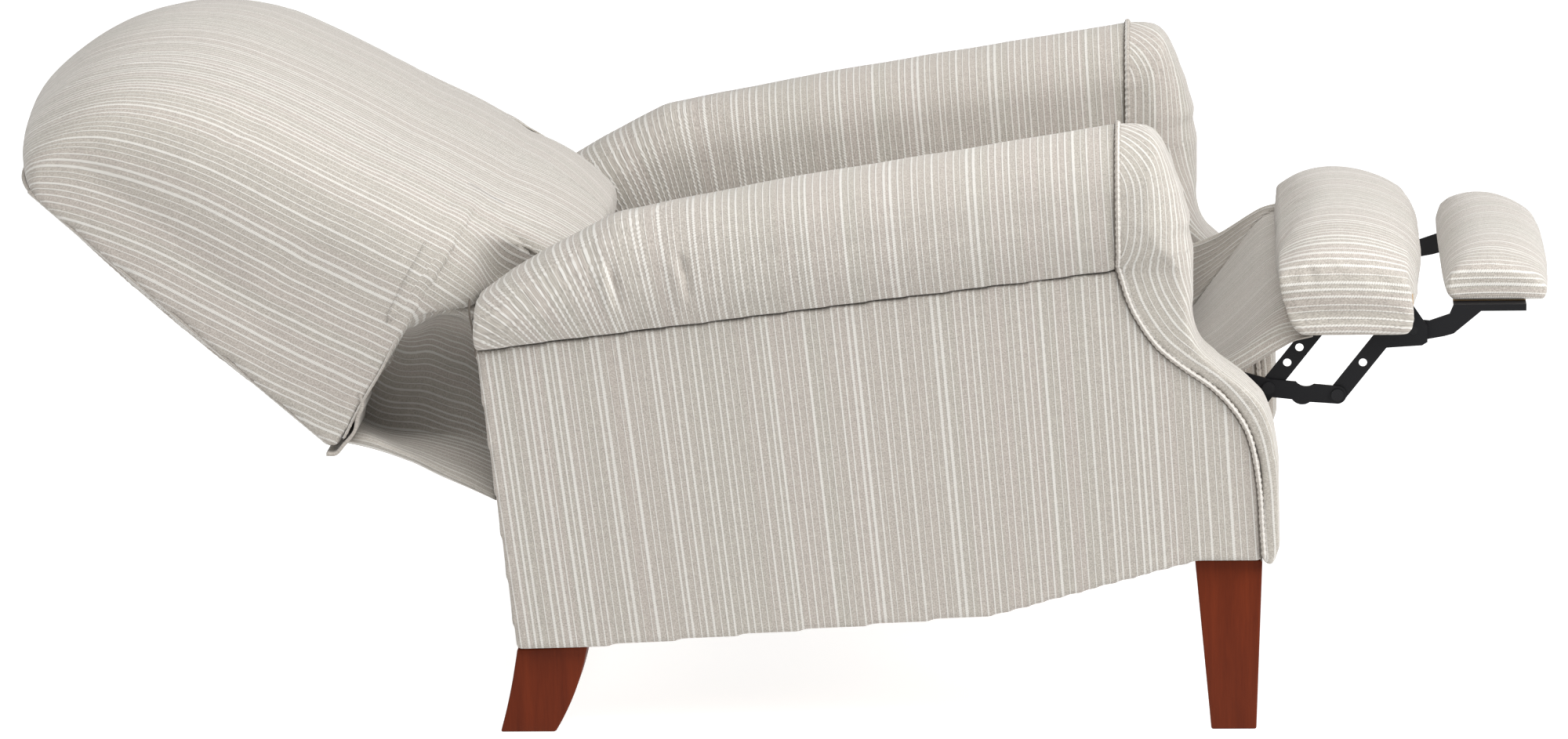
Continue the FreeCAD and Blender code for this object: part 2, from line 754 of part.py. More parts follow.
def build_arm(name, side):
    cover_low, cover_high = span(side, board_outer, size.arm_outer_y)
    outside = hem_outline(ZERO) + seam_curve(ZERO)
    keep(f"arm_outside_panel_{name}",
         plate(f"arm_outside_panel_{name}", outside, cover_low, cover_high))

    board_low, board_high = span(side, board_inner, board_outer)
    front_x = size.facing_seam_x - frame_inset
    board = [rear_inner_top(), rear_inner(size.hem_rear_z + frame_inset)]
    board += hem_outline(frame_inset)[2:] + seam_curve(frame_inset)
    board[-1] = (front_x, seam_height(front_x))
    frame = [plate(f"arm_side_board_{name}", board, board_low, board_high)]

    frame_low, frame_high = span(side, frame_inner, board_inner)
    post = size.arm_post_depth
    rail = size.arm_rail_height
    roof = rear_inner_top()
    top_rail = [
        rear_inner(roof[1] - rail),
        (front_x, seam_height(front_x) - rail),
        (front_x, seam_height(front_x)),
        roof,
    ]
    frame.append(plate(f"arm_top_rail_{name}", top_rail, frame_low, frame_high))

    bottom = hem_outline(ZERO)
    rail_toe_x = size.facing_toe_x - frame_inset
    bottom_rail = [
        rear_inner_foot(),
        bottom[2],
        bottom[3],
        bottom[4],
        (rail_toe_x, bottom[4][1]),
        (rail_toe_x, bottom[4][1] + rail),
        (size.hem_front_x, bottom[4][1] + rail),
        (size.hem_middle_x, bottom[3][1] + rail + rail * HALF_SHARE),
        rear_inner(bottom[1][1] + rail + rail),
    ]
    frame.append(plate(f"arm_bottom_rail_{name}", bottom_rail, frame_low, frame_high))

    front_post = [
        (front_x - post, bottom[3][1] + rail),
        (front_x, bottom[3][1] + rail),
        (front_x, seam_height(front_x) - rail * HALF_SHARE),
        (front_x - post, seam_height(front_x - post) - rail * HALF_SHARE),
    ]
    frame.append(plate(f"arm_front_post_{name}", front_post, frame_low, frame_high))

    rear_low_z = bottom[1][1] + rail
    rear_rail_z = roof[1] - rail * HALF_SHARE
    rear_post = [
        rear_inner(rear_low_z),
        (rear_edge_x(rear_low_z) + size.rear_cover + post, rear_low_z),
        (rear_edge_x(rear_rail_z) + size.rear_cover + post, rear_rail_z),
        rear_inner(rear_rail_z),
    ]
    frame.append(plate(f"arm_rear_post_{name}", rear_post, frame_low, frame_high))
    keep(f"arm_frame_{name}", join(f"arm_frame_{name}", frame))

    strip_low, strip_high = span(side, size.arm_inner_y, board_outer)
    strip = [
        (size.arm_rear_top_x, size.roll_seam_rear_z),
        (size.arm_rear_bottom_x, size.hem_rear_z),
        rear_inner_foot(),
        rear_inner_top(),
    ]
    keep(f"arm_rear_panel_{name}",
         plate(f"arm_rear_panel_{name}", strip, strip_low, strip_high))

    inside_low, inside_high = span(side, size.arm_inner_y, frame_inner)
    inside_bottom = size.inside_panel_bottom_z
    inside = [
        rear_inner(inside_bottom),
        (size.facing_toe_x, inside_bottom),
    ] + seam_curve(ZERO)[1:] + [rear_inner_top()]
    keep(f"arm_inside_panel_{name}",
         plate(f"arm_inside_panel_{name}", inside, inside_low, inside_high))

    build_roll(name, side)
    build_facing(name, side)


# Legs

def build_front_leg(name, side):
    top_z = size.hem_front_z
    inner_y = size.arm_outer_y - size.leg_inset_y - size.leg_thickness
    foot_y = size.arm_outer_y - size.leg_inset_y - size.leg_foot_thickness
    outer_y = size.arm_outer_y - size.leg_inset_y
    half_top = size.front_leg_top * HALF_SHARE
    half_foot = size.front_leg_foot * HALF_SHARE

    def ring(x, half, near, z):
        corners = [(x - half, near), (x + half, near), (x + half, outer_y), (x - half, outer_y)]
        vectors = [FreeCAD.Vector(a.value, side * b.value, z.value) for a, b in corners]
        return Part.makePolygon(vectors + vectors[:1])

    wires = [
        ring(size.front_leg_foot_x, half_foot, foot_y, ZERO),
        ring(size.front_leg_x, half_top, inner_y, top_z),
    ]
    keep(f"front_leg_{name}", solid_feature(f"front_leg_{name}", Part.makeLoft(wires, True, True)))


def build_rear_leg(name, side):
    low_y, high_y = span(side, size.arm_outer_y - size.leg_inset_y - size.leg_thickness,
                         size.arm_outer_y - size.leg_inset_y)
    top_z = size.hem_rear_z
    half_top = size.rear_leg_top * HALF_SHARE
    half_foot = size.rear_leg_foot * HALF_SHARE
    foot_x = size.rear_leg_x - size.rear_leg_sweep
    sweep = size.rear_leg_sweep
    share = LEG_SHARES
    outline = [
        (foot_x - half_foot, ZERO),
        (foot_x + half_foot, ZERO),
        Via(size.rear_leg_x + half_top - sweep * share["heel_x"], top_z * share["heel_z"]),
        (size.rear_leg_x + half_top, top_z + size.hem_rear_rise),
        (size.rear_leg_x - half_top, top_z),
        Via(foot_x - half_foot + sweep * share["calf_x"], top_z * share["calf_z"]),
    ]
    keep(f"rear_leg_{name}", plate(f"rear_leg_{name}", outline, low_y, high_y))


# Pivot places, worked out from the hub and the links' rest angles

def ahead(point, length, tilt, offset=0.0):
    """The point reached by going length along tilt and offset to its upper side."""
    angle = math.radians(tilt)
    return (point[0] + length * math.cos(angle) - offset * math.sin(angle),
            point[1] + length * math.sin(angle) + offset * math.cos(angle))


hub = (size.hub_x.value, size.hub_z.value)
knee = ahead(hub, size.rear_link_bend_at.value, size.rear_link_angle.value,
             -size.rear_link_bend_depth.value)
elbow = ahead(hub, size.rear_link_length.value, size.rear_link_angle.value)
rear_bracket_pivot = ahead(knee, size.cross_link_reach.value, size.cross_link_angle.value)
front_bracket_pivot = ahead(elbow, size.cross_link_reach.value, size.cross_link_angle.value)
tail = ahead(knee, -size.cross_link_tail.value, size.cross_link_angle.value)
drive_hub = (hub[0] + tail[0] - knee[0], hub[1] + tail[1] - knee[1])
drive_length = math.hypot(tail[0] - drive_hub[0], tail[1] - drive_hub[1])
drive_tilt = math.degrees(math.atan2(tail[1] - drive_hub[1], tail[0] - drive_hub[0]))
flip_pivot = (front_bracket_pivot[0] + size.flip_pivot_dx.value,
              front_bracket_pivot[1] + size.flip_pivot_dz.value)
back_pivot = (size.back_pivot_x.value, size.back_pivot_z.value)

# How far the footrest's bracket rises above its front pivot, and its pieces reach behind it
bracket_rise = as_size(rear_bracket_pivot[1] - front_bracket_pivot[1]) + size.bracket_cover
bracket_rear = as_size(front_bracket_pivot[0] - rear_bracket_pivot[0]) + size.bracket_lap
footrest_board_rear = bracket_rear + size.footrest_board_lap
footrest_pad_rear = footrest_board_rear + size.footrest_pad_lap

back_angle = size.back_recline_angle.value
back_corner = (size.back_corner_x.value, size.back_corner_z.value)


def back_place(across, up):
    """World place of a point given in the back's own frame."""
    return ahead(back_corner, as_size(across).value, back_angle, as_size(up).value)


bracket_bolt_low = back_place(size.back_bolt_depth, size.back_bolt_low_z)
bracket_length = math.hypot(bracket_bolt_low[0] - back_pivot[0], bracket_bolt_low[1] - back_pivot[1])
bracket_tilt = math.degrees(math.atan2(bracket_bolt_low[1] - back_pivot[1],
                                       bracket_bolt_low[0] - back_pivot[0]))
stop_offset = (size.back_bracket_width * HALF_SHARE + size.stop_radius + size.stop_play).value
stop_place = ahead(back_pivot, size.stop_reach.value, bracket_tilt, stop_offset)
half_link = size.link_width * HALF_SHARE
bore = size.pin_radius + size.pin_clearance
cross_layer_y = size.bracket_inner_y + size.link_thickness + size.link_gap
rear_layer_y = cross_layer_y + size.link_thickness + size.link_gap
print("hub", hub, "knee", knee, "elbow", elbow)
print("bracket pivots", rear_bracket_pivot, front_bracket_pivot, "tail", tail)
print("drive hub", drive_hub, "flip pivot", flip_pivot, "back pivot", back_pivot)


def build_mechanism(name, side):
    low_y, high_y = span(side, size.plate_inner_y, size.plate_inner_y + size.plate_thickness)
    lobe = size.plate_lobe
    base_z = size.cross_rail_top_z
    hub_x, hub_z = size.hub_x, size.hub_z
    drive_x = as_size(drive_hub[0])
    drive_z = as_size(drive_hub[1])
    rear_x = size.mechanism_rear_x
    front_x = size.front_cross_rail_x + size.cross_rail_depth
    spine_z = size.plate_spine_z
    outline = [
        (rear_x, base_z),
        (front_x, base_z),
        (drive_x + lobe * LOBE_SHARES["reach"], drive_z - lobe),
        (hub_x + lobe, hub_z - lobe * LOBE_SHARES["under"]),
        Via(hub_x + lobe, hub_z + lobe * LOBE_SHARES["over"]),
        (hub_x, hub_z + lobe * LOBE_SHARES["top"]),
        (drive_x - lobe, drive_z + lobe * LOBE_SHARES["shoulder"]),
        (front_x - lobe, spine_z),
        (size.back_pivot_x + size.cross_rail_depth, spine_z),
        (size.back_pivot_x + lobe, size.back_pivot_z + lobe * LOBE_SHARES["heel"]),
        (rear_x, size.back_pivot_z + lobe * LOBE_SHARES["heel"]),
    ]
    holes = [
        ((hub_x, hub_z), bore),
        ((drive_x, drive_z), bore),
        ((size.back_pivot_x, size.back_pivot_z), bore),
    ]
    web = plate(f"mechanism_web_{name}", outline, low_y, high_y, holes)
    foot_low, foot_high = span(side, size.plate_inner_y, size.plate_inner_y + size.plate_foot_width)
    foot_top = base_z + size.plate_thickness
    foot = plate(f"mechanism_foot_{name}", rectangle(rear_x, base_z, front_x, foot_top),
                 foot_low, foot_high)
    stop_low, stop_high = span(side, size.back_bracket_inner_y - size.stop_overhang,
                               size.plate_inner_y)
    stop = rod(f"recline_stop_{name}", stop_place[0], stop_place[1], size.stop_radius,
               stop_low, stop_high)
    label = f"mechanism_side_plate_{name}"
    return keep(label, join(label, [web, foot, stop]))


def link(label, start, tilt, length, layer, side, extra_holes=()):
    low_y, high_y = span(side, layer, layer + size.link_thickness)
    holes = [((ZERO, ZERO), bore), ((length, ZERO), bore)] + list(extra_holes)
    piece = plate(label, capsule(length, half_link), low_y, high_y, holes)
    place(piece, start[0], start[1], tilt)
    return keep(label, piece)


def build_links(name, side):
    low_y, high_y = span(side, rear_layer_y, rear_layer_y + size.link_thickness)
    bend_x = size.rear_link_bend_at
    bend_z = -size.rear_link_bend_depth
    end_x = size.rear_link_length
    share = WAIST_SHARES
    notch = half_link * share["depth"]
    waist_x = (bend_x + end_x) * HALF_SHARE
    waist_top = bend_z * HALF_SHARE + half_link
    waist_low = bend_z * HALF_SHARE - half_link
    outline = [
        (ZERO, half_link),
        (bend_x, bend_z + half_link),
        (waist_x - half_link, waist_top - notch * share["top_edge"]),
        Via(waist_x, waist_top - notch),
        (waist_x + half_link, waist_top + notch * share["top_edge"]),
        (end_x, half_link),
        Via(end_x + half_link, ZERO),
        (end_x, -half_link),
        (waist_x + half_link, waist_low),
        Via(waist_x, waist_low - notch * share["low_middle"]),
        (waist_x - half_link, waist_low - notch * share["low_edge"]),
        (bend_x, bend_z - half_link),
        (ZERO, -half_link),
        Via(-half_link, ZERO),
    ]
    holes = [((ZERO, ZERO), bore), ((bend_x, bend_z), bore), ((end_x, ZERO), bore)]
    rear = plate(f"rear_link_{name}", outline, low_y, high_y, holes)
    place(rear, hub[0], hub[1], size.rear_link_angle.value)
    keep(f"rear_link_{name}", rear)

    tail_length = size.cross_link_tail
    reach = size.cross_link_reach
    tilt = size.cross_link_angle.value
    spare = size.spare_hole_radius
    spare_rise = half_link * SPARE_SHARES["rise"]
    cross_holes = [
        ((tail_length, ZERO), bore),
        ((tail_length + reach * SPARE_SHARES["first"], spare_rise), spare),
        ((tail_length + reach * SPARE_SHARES["second"], spare_rise), spare),
    ]
    link(f"cross_link_{name}", tail, tilt, tail_length + reach, cross_layer_y, side, cross_holes)
    front_holes = [((reach * SPARE_SHARES["front"], ZERO), spare)]
    link(f"front_link_{name}", elbow, tilt, reach, cross_layer_y, side, front_holes)
    drive_size = Size(drive_length, f"hypot({tail[0] - drive_hub[0]}; {tail[1] - drive_hub[1]})")
    link(f"drive_link_{name}", drive_hub, drive_tilt, drive_size, rear_layer_y, side)


def rivet(label, point, low_y, high_y, head_low, head_high):
    """A headed pin along Y; each head lies outside the stack when asked for."""
    shank = rod(label + "_shank", point[0], point[1], size.pin_radius, low_y, high_y)
    pieces = [shank]
    if head_low:
        pieces.append(rod(label + "_head_low", point[0], point[1], size.rivet_head,
                          low_y - size.rivet_head_height, low_y))
    if head_high:
        pieces.append(rod(label + "_head_high", point[0], point[1], size.rivet_head,
                          high_y, high_y + size.rivet_head_height))
    return join(label, pieces)


def pivot_pin(label, point, inner, outer, side, head_inner=True, head_outer=True):
    low_y, high_y = span(side, inner, outer)
    head_low, head_high = (head_outer, head_inner) if side < 0 else (head_inner, head_outer)
    return rivet(label, point, low_y, high_y, head_low, head_high)


# Base frame and fasteners

def build_base():
    top = size.cross_rail_top_z
    depth = size.cross_rail_depth
    cover = size.rear_cover
    front_x = size.front_cross_rail_x
    front = rectangle(front_x - depth * HALF_SHARE, top - size.front_cross_rail_height,
                      front_x + depth * HALF_SHARE, top)
    keep("front_cross_rail", plate("front_cross_rail", front, -frame_inner, frame_inner))
    low = top - size.rear_cross_rail_height
    rear = [
        (rear_edge_x(low) + cover, low),
        (size.rear_cross_rail_x, low),
        (size.rear_cross_rail_x, top),
        (rear_edge_x(top) + cover, top),
    ]
    keep("rear_cross_rail", plate("rear_cross_rail", rear, -frame_inner, frame_inner))
    hem = size.hem_rear_z + size.hem_rear_rise
    lid = size.rear_panel_top_z
    panel = [
        (rear_edge_x(hem), hem),
        (rear_edge_x(hem) + cover, hem),
        (rear_edge_x(lid) + cover, lid),
        (rear_edge_x(lid), lid),
    ]
    keep("base_rear_panel", plate("base_rear_panel", panel, -size.arm_inner_y, size.arm_inner_y))
    tube = rod("mechanism_cross_tube", size.cross_tube_x.value, size.cross_tube_z.value,
               size.cross_tube_radius, -size.plate_inner_y, size.plate_inner_y)
    keep("mechanism_cross_tube", tube)


def upright_screw(label, x, y, top_z, head_down=False):
    """A vertical screw with its head on top, or below when turned over."""
    shank = doc.addObject("Part::Cylinder", label + "_shank")
    shank.setExpression("Radius", size.screw_radius.formula)
    shank.setExpression("Height", size.screw_length.formula)
    shank.Placement.Base = FreeCAD.Vector(x, y, (top_z - size.screw_length).value)
    head = doc.addObject("Part::Cylinder", label + "_head")
    head.setExpression("Radius", size.screw_head_radius.formula)
    head.setExpression("Height", size.screw_head_height.formula)
    head.Placement.Base = FreeCAD.Vector(x, y, top_z.value)
    return join(label, [shank, head])


def build_fasteners():
    screws = []
    foot_y = size.plate_inner_y + size.plate_foot_width * BOLT_SHARES["screw"]
    foot_top = size.cross_rail_top_z + size.plate_thickness
    rear_x = (size.mechanism_rear_x + size.rear_cross_rail_x) * HALF_SHARE
    for side_name, side in SIDES:
        for end, x in (("front", size.front_cross_rail_x), ("rear", rear_x)):
            screws.append(upright_screw(f"foot_screw_{end}_{side_name}", x.value,
                                        side * foot_y.value, foot_top))
    keep("mechanism_screws", group("mechanism_screws", screws))
    bolts = []
    leg_y = frame_inner + (board_inner - frame_inner) * BOLT_SHARES["leg"]
    for side_name, side in SIDES:
        for end, x, top in (("front", size.front_leg_x, size.hem_front_z),
                            ("rear", size.rear_leg_x, size.hem_rear_z)):
            bolt = doc.addObject("Part::Cylinder", f"leg_bolt_{end}_{side_name}")
            bolt.setExpression("Radius", (size.leg_bolt * HALF_SHARE).formula)
            bolt.setExpression("Height", size.leg_bolt_length.formula)
            low = top - size.leg_bolt_length * HALF_SHARE
            bolt.Placement.Base = FreeCAD.Vector(x.value, side * leg_y.value, low.value)
            bolts.append(bolt)
    keep("leg_bolts", group("leg_bolts", bolts))


def build_pins():
    plate_outer = size.plate_inner_y + size.plate_thickness
    rear_outer = rear_layer_y + size.link_thickness
    cross_outer = cross_layer_y + size.link_thickness
    bracket_outer = size.bracket_inner_y + size.link_thickness
    stacks = {
        "base_pivot_pins": [
            ("hub_pin", hub, rear_layer_y, plate_outer, False, True),
            ("drive_hub_pin", drive_hub, rear_layer_y, plate_outer, True, True),
            ("back_pin", back_pivot, size.back_bracket_inner_y, plate_outer, True, True),
        ],
        "knee_pins": [("knee_pin", knee, cross_layer_y, rear_outer, True, True)],
        "elbow_pins": [("elbow_pin", elbow, cross_layer_y, rear_outer, True, True)],
        "tail_pins": [("tail_pin", tail, cross_layer_y, rear_outer, True, True)],
        "footrest_pins": [
            ("rear_bracket_pin", rear_bracket_pivot, size.bracket_inner_y, cross_outer, True, True),
            ("front_bracket_pin", front_bracket_pivot, size.bracket_inner_y, cross_outer, True, True),
            ("flip_pin", flip_pivot, size.flip_arm_inner_y, bracket_outer, True, False),
        ],
    }
    for label, pins in stacks.items():
        made = []
        for pin, point, inner, outer, head_inner, head_outer in pins:
            for side_name, side in SIDES:
                made.append(pivot_pin(f"{pin}_{side_name}", point, inner, outer, side,
                                      head_inner, head_outer))
                if pin != "flip_pin":
                    continue
                collar_low, collar_high = span(side, inner + size.link_thickness, size.bracket_inner_y)
                collar = rod(f"flip_collar_{side_name}", point[0], point[1], size.rivet_head,
                             collar_low, collar_high)
                made[-1] = join(f"flip_pin_with_collar_{side_name}", [made[-1], collar])
        keep(label, group(label, made))


# Footrest and extension

def build_footrest_bracket(name, side):
    rise = bracket_rise
    rear = -bracket_rear
    front = size.bracket_front
    drop = -size.bracket_depth
    lobe = half_link * LOBE_SHARES["reach"]
    pivot_dx = as_size(rear_bracket_pivot[0] - front_bracket_pivot[0])
    pivot_dz = as_size(rear_bracket_pivot[1] - front_bracket_pivot[1])
    nose_x = front - lobe * HALF_SHARE
    share = BRACKET_SHARES
    web_outline = [
        (rear, rise),
        (rear, pivot_dz),
        Via(pivot_dx - lobe * share["corner"], pivot_dz - lobe * share["corner"]),
        (pivot_dx, pivot_dz - lobe),
        (-lobe * share["waist"], drop * share["waist_z"]),
        (-lobe, drop),
        (nose_x, drop * share["toe_z"]),
        (front, drop * share["chin_z"]),
        (front, drop * share["cheek_z"]),
        (size.footrest_board_front, rise),
    ]
    web_low, web_high = span(side, size.bracket_inner_y, size.bracket_inner_y + size.link_thickness)
    holes = [
        ((ZERO, ZERO), bore),
        ((pivot_dx, pivot_dz), bore),
        ((size.flip_pivot_dx, size.flip_pivot_dz), bore),
    ]
    web = plate(f"footrest_web_{name}", web_outline, web_low, web_high, holes)
    outer_y = size.bracket_inner_y + size.link_thickness
    flange_low, flange_high = span(side, outer_y - size.bracket_flange, outer_y)
    flange_outline = rectangle(rear, rise - size.link_thickness, size.footrest_board_front, rise)
    flange = plate(f"footrest_flange_{name}", flange_outline, flange_low, flange_high)
    bracket = join(f"footrest_bracket_{name}", [web, flange])
    place(bracket, front_bracket_pivot[0], front_bracket_pivot[1])
    keep(f"footrest_bracket_{name}", bracket)


def pad_loft(corners, radii, bulges, half_width, stations, centre_x, bottom_z):
    """A crowned cushion whose sections shrink towards its two ends."""
    wires = []
    for y_share, section_share in stations:
        moved = [(centre_x + (x - centre_x) * section_share,
                  bottom_z + (z - bottom_z) * section_share) for x, z in corners]
        rounds = [radius * section_share for radius in radii]
        swells = [bulge * section_share for bulge in bulges]
        wires.append(soft_wire(moved, rounds, swells, section_at(half_width * y_share)))
    return Part.makeLoft(wires, True, False)


def block(label, low_x, low_z, high_x, high_z, half_width):
    """A bound box that is centred on the chair's middle plane."""
    return plate(label, rectangle(low_x, low_z, high_x, high_z), -half_width, half_width)


def cut(label, base, tool):
    result = doc.addObject("Part::Cut", label)
    result.Label = label
    result.Base = base
    result.Tool = tool
    return result


def build_footrest():
    gap = size.soft_gap
    rise = bracket_rise
    board_rear = -footrest_board_rear
    board_front = size.footrest_board_front
    board_top = rise + size.footrest_board_thickness
    board = block("footrest_board", board_rear, rise, board_front, board_top, size.footrest_board_y)
    place(board, front_bracket_pivot[0], front_bracket_pivot[1])
    keep("footrest_board", board)
    front_x = size.footrest_front_x.value
    round_small = front_x * PAD_RADIUS_SHARES["small"]
    round_large = front_x * PAD_RADIUS_SHARES["large"]
    drop = -size.footrest_pad_depth.value
    corners = [
        (board_rear.value, drop),
        (board_front.value, drop),
        (size.footrest_nose_x.value, size.footrest_nose_z.value),
        (front_x, size.footrest_front_z.value),
        (-footrest_pad_rear.value, size.footrest_rear_z.value),
    ]
    crown = size.footrest_crown.value
    radii = [round_small, round_small, round_large, round_large, round_large]
    bulges = [0, crown * SWELL_SHARES["nose"], crown * SWELL_SHARES["nose"], crown,
              crown * SWELL_SHARES["rear"]]
    centre_x = (front_x - footrest_pad_rear.value) * HALF_SHARE
    whole = solid_feature("footrest_pad_whole", pad_loft(
        corners, radii, bulges, size.footrest_half_width.value, PAD_STATION_SHARES, centre_x, drop))
    recess = block("footrest_recess", board_rear * RECESS_SHARES["rear"],
                   drop * RECESS_SHARES["drop"], board_front * RECESS_SHARES["front"], rise,
                   size.footrest_inner_y)
    pocket = block("footrest_pocket", board_rear - gap, ZERO, board_front + gap, board_top + gap,
                   size.footrest_board_y + gap)
    pad = cut("footrest_pad", whole, join("footrest_hollow", [recess, pocket]))
    place(pad, front_bracket_pivot[0], front_bracket_pivot[1])
    keep("footrest_pad", pad)


def build_flip_arm(name, side):
    lobe = size.flip_lobe
    reach = size.flip_arm_reach
    top = size.flip_arm_top
    start = size.flip_arm_start
    low = top - size.flip_arm_depth
    share = FLIP_SHARES
    outline = [
        (ZERO, lobe),
        (start * share["neck"], lobe * share["neck_top"]),
        (start * share["bend"], top * share["bend_top"]),
        (start, top),
        (reach, top),
        (reach, low),
        (reach * share["knee"], low),
        (start, -lobe * share["under"]),
        (start * share["throat"], -lobe * share["throat_z"]),
        (start * share["root"], -lobe),
        (ZERO, -lobe),
        Via(-lobe, ZERO),
    ]
    low_y, high_y = span(side, size.flip_arm_inner_y, size.flip_arm_inner_y + size.link_thickness)
    web = plate(f"flip_web_{name}", outline, low_y, high_y, [((ZERO, ZERO), bore)])
    flange_low, flange_high = span(side, size.flip_arm_inner_y - size.flip_flange_width,
                                   size.flip_arm_inner_y + size.link_thickness)
    flange = plate(f"flip_flange_{name}", rectangle(start, top - size.link_thickness, reach, top),
                   flange_low, flange_high)
    arm = join(f"extension_arm_{name}", [web, flange])
    place(arm, flip_pivot[0], flip_pivot[1])
    keep(f"extension_arm_{name}", arm)


def build_extension():
    gap = size.soft_gap
    start = size.flip_arm_start
    reach = size.flip_arm_reach
    top = size.flip_arm_top
    board_top = top + size.extension_board_thickness
    board = block("extension_board", start, top, reach, board_top, size.extension_board_y)
    place(board, flip_pivot[0], flip_pivot[1])
    keep("extension_board", board)
    bottom = size.extension_bottom.value
    rear = size.extension_rear_x.value
    front = size.extension_front_x.value
    crown = size.extension_crown.value
    corners = [
        (rear + crown * HALF_SHARE, bottom),
        (front, bottom),
        (front, size.extension_top.value),
        (rear, size.extension_top.value),
    ]
    radii = [crown * SWELL_SHARES["rear"], crown * HALF_SHARE, crown * PAD_RADIUS_SHARES["large"],
             crown * PAD_RADIUS_SHARES["large"]]
    bulges = [0, crown * SWELL_SHARES["front"], crown, crown * SWELL_SHARES["front"]]
    whole = solid_feature("extension_pad_whole", pad_loft(
        corners, radii, bulges, size.extension_half_width.value, PAD_STATION_SHARES,
        (rear + front) * HALF_SHARE, bottom))
    pocket = block("extension_pocket", start - gap, ZERO, reach + gap, board_top + gap,
                   size.extension_board_y + gap)
    pad = cut("extension_pad", whole, pocket)
    place(pad, flip_pivot[0], flip_pivot[1])
    keep("extension_pad", pad)


# Seat

def zigzag_spring(label, length, swing, waves, wire_radius):
    """A flat sinuous spring: straight legs joined by half-turn bends, two to each wave."""
    bends = waves * DOUBLE_SHARE
    pitch = length / bends
    bend = pitch * HALF_SHARE
    leg = swing - bend
    edges = []
    side = 1
    x = 0.0
    vector = FreeCAD.Vector
    edges.append(Part.makeLine(vector(0, 0, 0), vector(0, leg, 0)))
    for number in range(bends):
        top = side * leg
        crest = side * (leg + bend)
        first = vector(x, top, 0)
        middle = vector(x + bend, crest, 0)
        last = vector(x + pitch, top, 0)
        reach = bend * QUARTER_SHARE
        first_quarter = vector(x + bend - reach, top + side * reach, 0)
        last_quarter = vector(x + bend + reach, top + side * reach, 0)
        edges.append(arc_through(first, first_quarter, middle))
        edges.append(arc_through(middle, last_quarter, last))
        x += pitch
        end = vector(x, 0, 0) if number == bends - 1 else vector(x, -top, 0)
        edges.append(Part.makeLine(last, end))
        side = -side
    path = Part.Wire(edges)
    circle = Part.makeCircle(wire_radius, vector(0, 0, 0), vector(0, 1, 0))
    solid = path.makePipeShell([Part.Wire([circle])], True, True)
    return solid_feature(label, solid)


def seat_line(x):
    """Height of the line that the seat springs lie on."""
    rear_x = size.seat_rear_x
    run = size.seat_front_rail_x - rear_x
    rise = size.seat_front_rail_top_z - size.seat_rear_rail_top_z
    return size.seat_rear_rail_top_z + rise * ((x - rear_x) / run)


def build_seat():
    rear_x = size.seat_rear_x
    side_low, side_top = size.seat_side_rail_bottom_z, size.seat_side_rail_top_z
    pieces = []
    for side_name, side in SIDES:
        low_y, high_y = span(side, size.seat_rail_inner_y, size.plate_inner_y)
        outline = rectangle(rear_x, side_low, size.seat_side_rail_front_x, side_top)
        pieces.append(plate(f"seat_side_rail_{side_name}", outline, low_y, high_y))
    front_x = size.seat_front_rail_x
    wire = size.spring_wire_radius * DOUBLE_SHARE
    front_depth = size.seat_front_rail_depth
    pieces.append(block("seat_front_rail", front_x, side_top, front_x + front_depth,
                        size.seat_front_rail_top_z, size.plate_inner_y))
    pieces.append(block("seat_rear_rail", rear_x, side_top, rear_x + size.seat_rear_rail_depth,
                        size.seat_rear_rail_top_z, size.plate_inner_y))
    keep("seat_frame", join("seat_frame", pieces))

    board_rear, board_front = size.seat_board_rear_x, size.seat_board_front_x
    rail_top = size.seat_front_rail_top_z
    board = [
        (board_rear, rail_top),
        (board_front, rail_top),
        (board_front, seat_line(board_front) + wire),
        (board_rear, seat_line(board_rear) + wire),
    ]
    keep("seat_front_board",
         plate("seat_front_board", board, -size.seat_board_y, size.seat_board_y))

    slope = math.degrees(math.atan2(
        (seat_line(front_x) - seat_line(rear_x)).value, (front_x - rear_x).value))
    length = (board_rear - rear_x - wire * SPRING_END_SHARE).value
    spread = size.seat_spring_half_width.value * DOUBLE_SHARE / (SEAT_SPRINGS - 1)
    springs = []
    for number in range(SEAT_SPRINGS):
        spring = zigzag_spring(f"seat_spring_{number + 1}", length, size.seat_spring_swing.value,
                               SEAT_SPRING_WAVES, size.spring_wire_radius.value)
        start = rear_x + wire
        turn = FreeCAD.Rotation(FreeCAD.Vector(0, 1, 0), -slope)
        lift = size.spring_wire_radius + size.soft_gap * HALF_SHARE
        height = seat_line(start) + lift
        y = (number - (SEAT_SPRINGS - 1) * HALF_SHARE) * spread
        spring.Placement = FreeCAD.Placement(FreeCAD.Vector(start.value, y, height.value), turn)
        springs.append(spring)
    keep("seat_springs", group("seat_springs", springs))

    depth = (board_front - rear_x + size.seat_overhang).value
    half_width = (size.arm_inner_y - size.seat_side_gap).value
    crown = size.seat_crown.value
    corners = [
        (0, 0),
        (depth, 0),
        (depth + size.seat_nose.value, size.seat_front_height.value),
        (-size.seat_nose.value * HALF_SHARE, size.seat_rear_height.value),
    ]
    radii = [crown, crown * SEAT_ROUND_SHARES["front_low"], crown * SEAT_ROUND_SHARES["front_top"],
             crown]
    bulges = [0, crown * SWELL_SHARES["rear"], crown, crown * SWELL_SHARES["front"]]
    cushion = solid_feature("seat_cushion", pad_loft(
        corners, radii, bulges, half_width, PAD_STATION_SHARES, depth * HALF_SHARE, 0))
    place(cushion, rear_x.value, (seat_line(rear_x) + wire + size.soft_gap).value, slope)
    keep("seat_cushion", cushion)


# Back, built in its own frame and then laid back

def in_back(item):
    return place(item, back_corner[0], back_corner[1], back_angle)


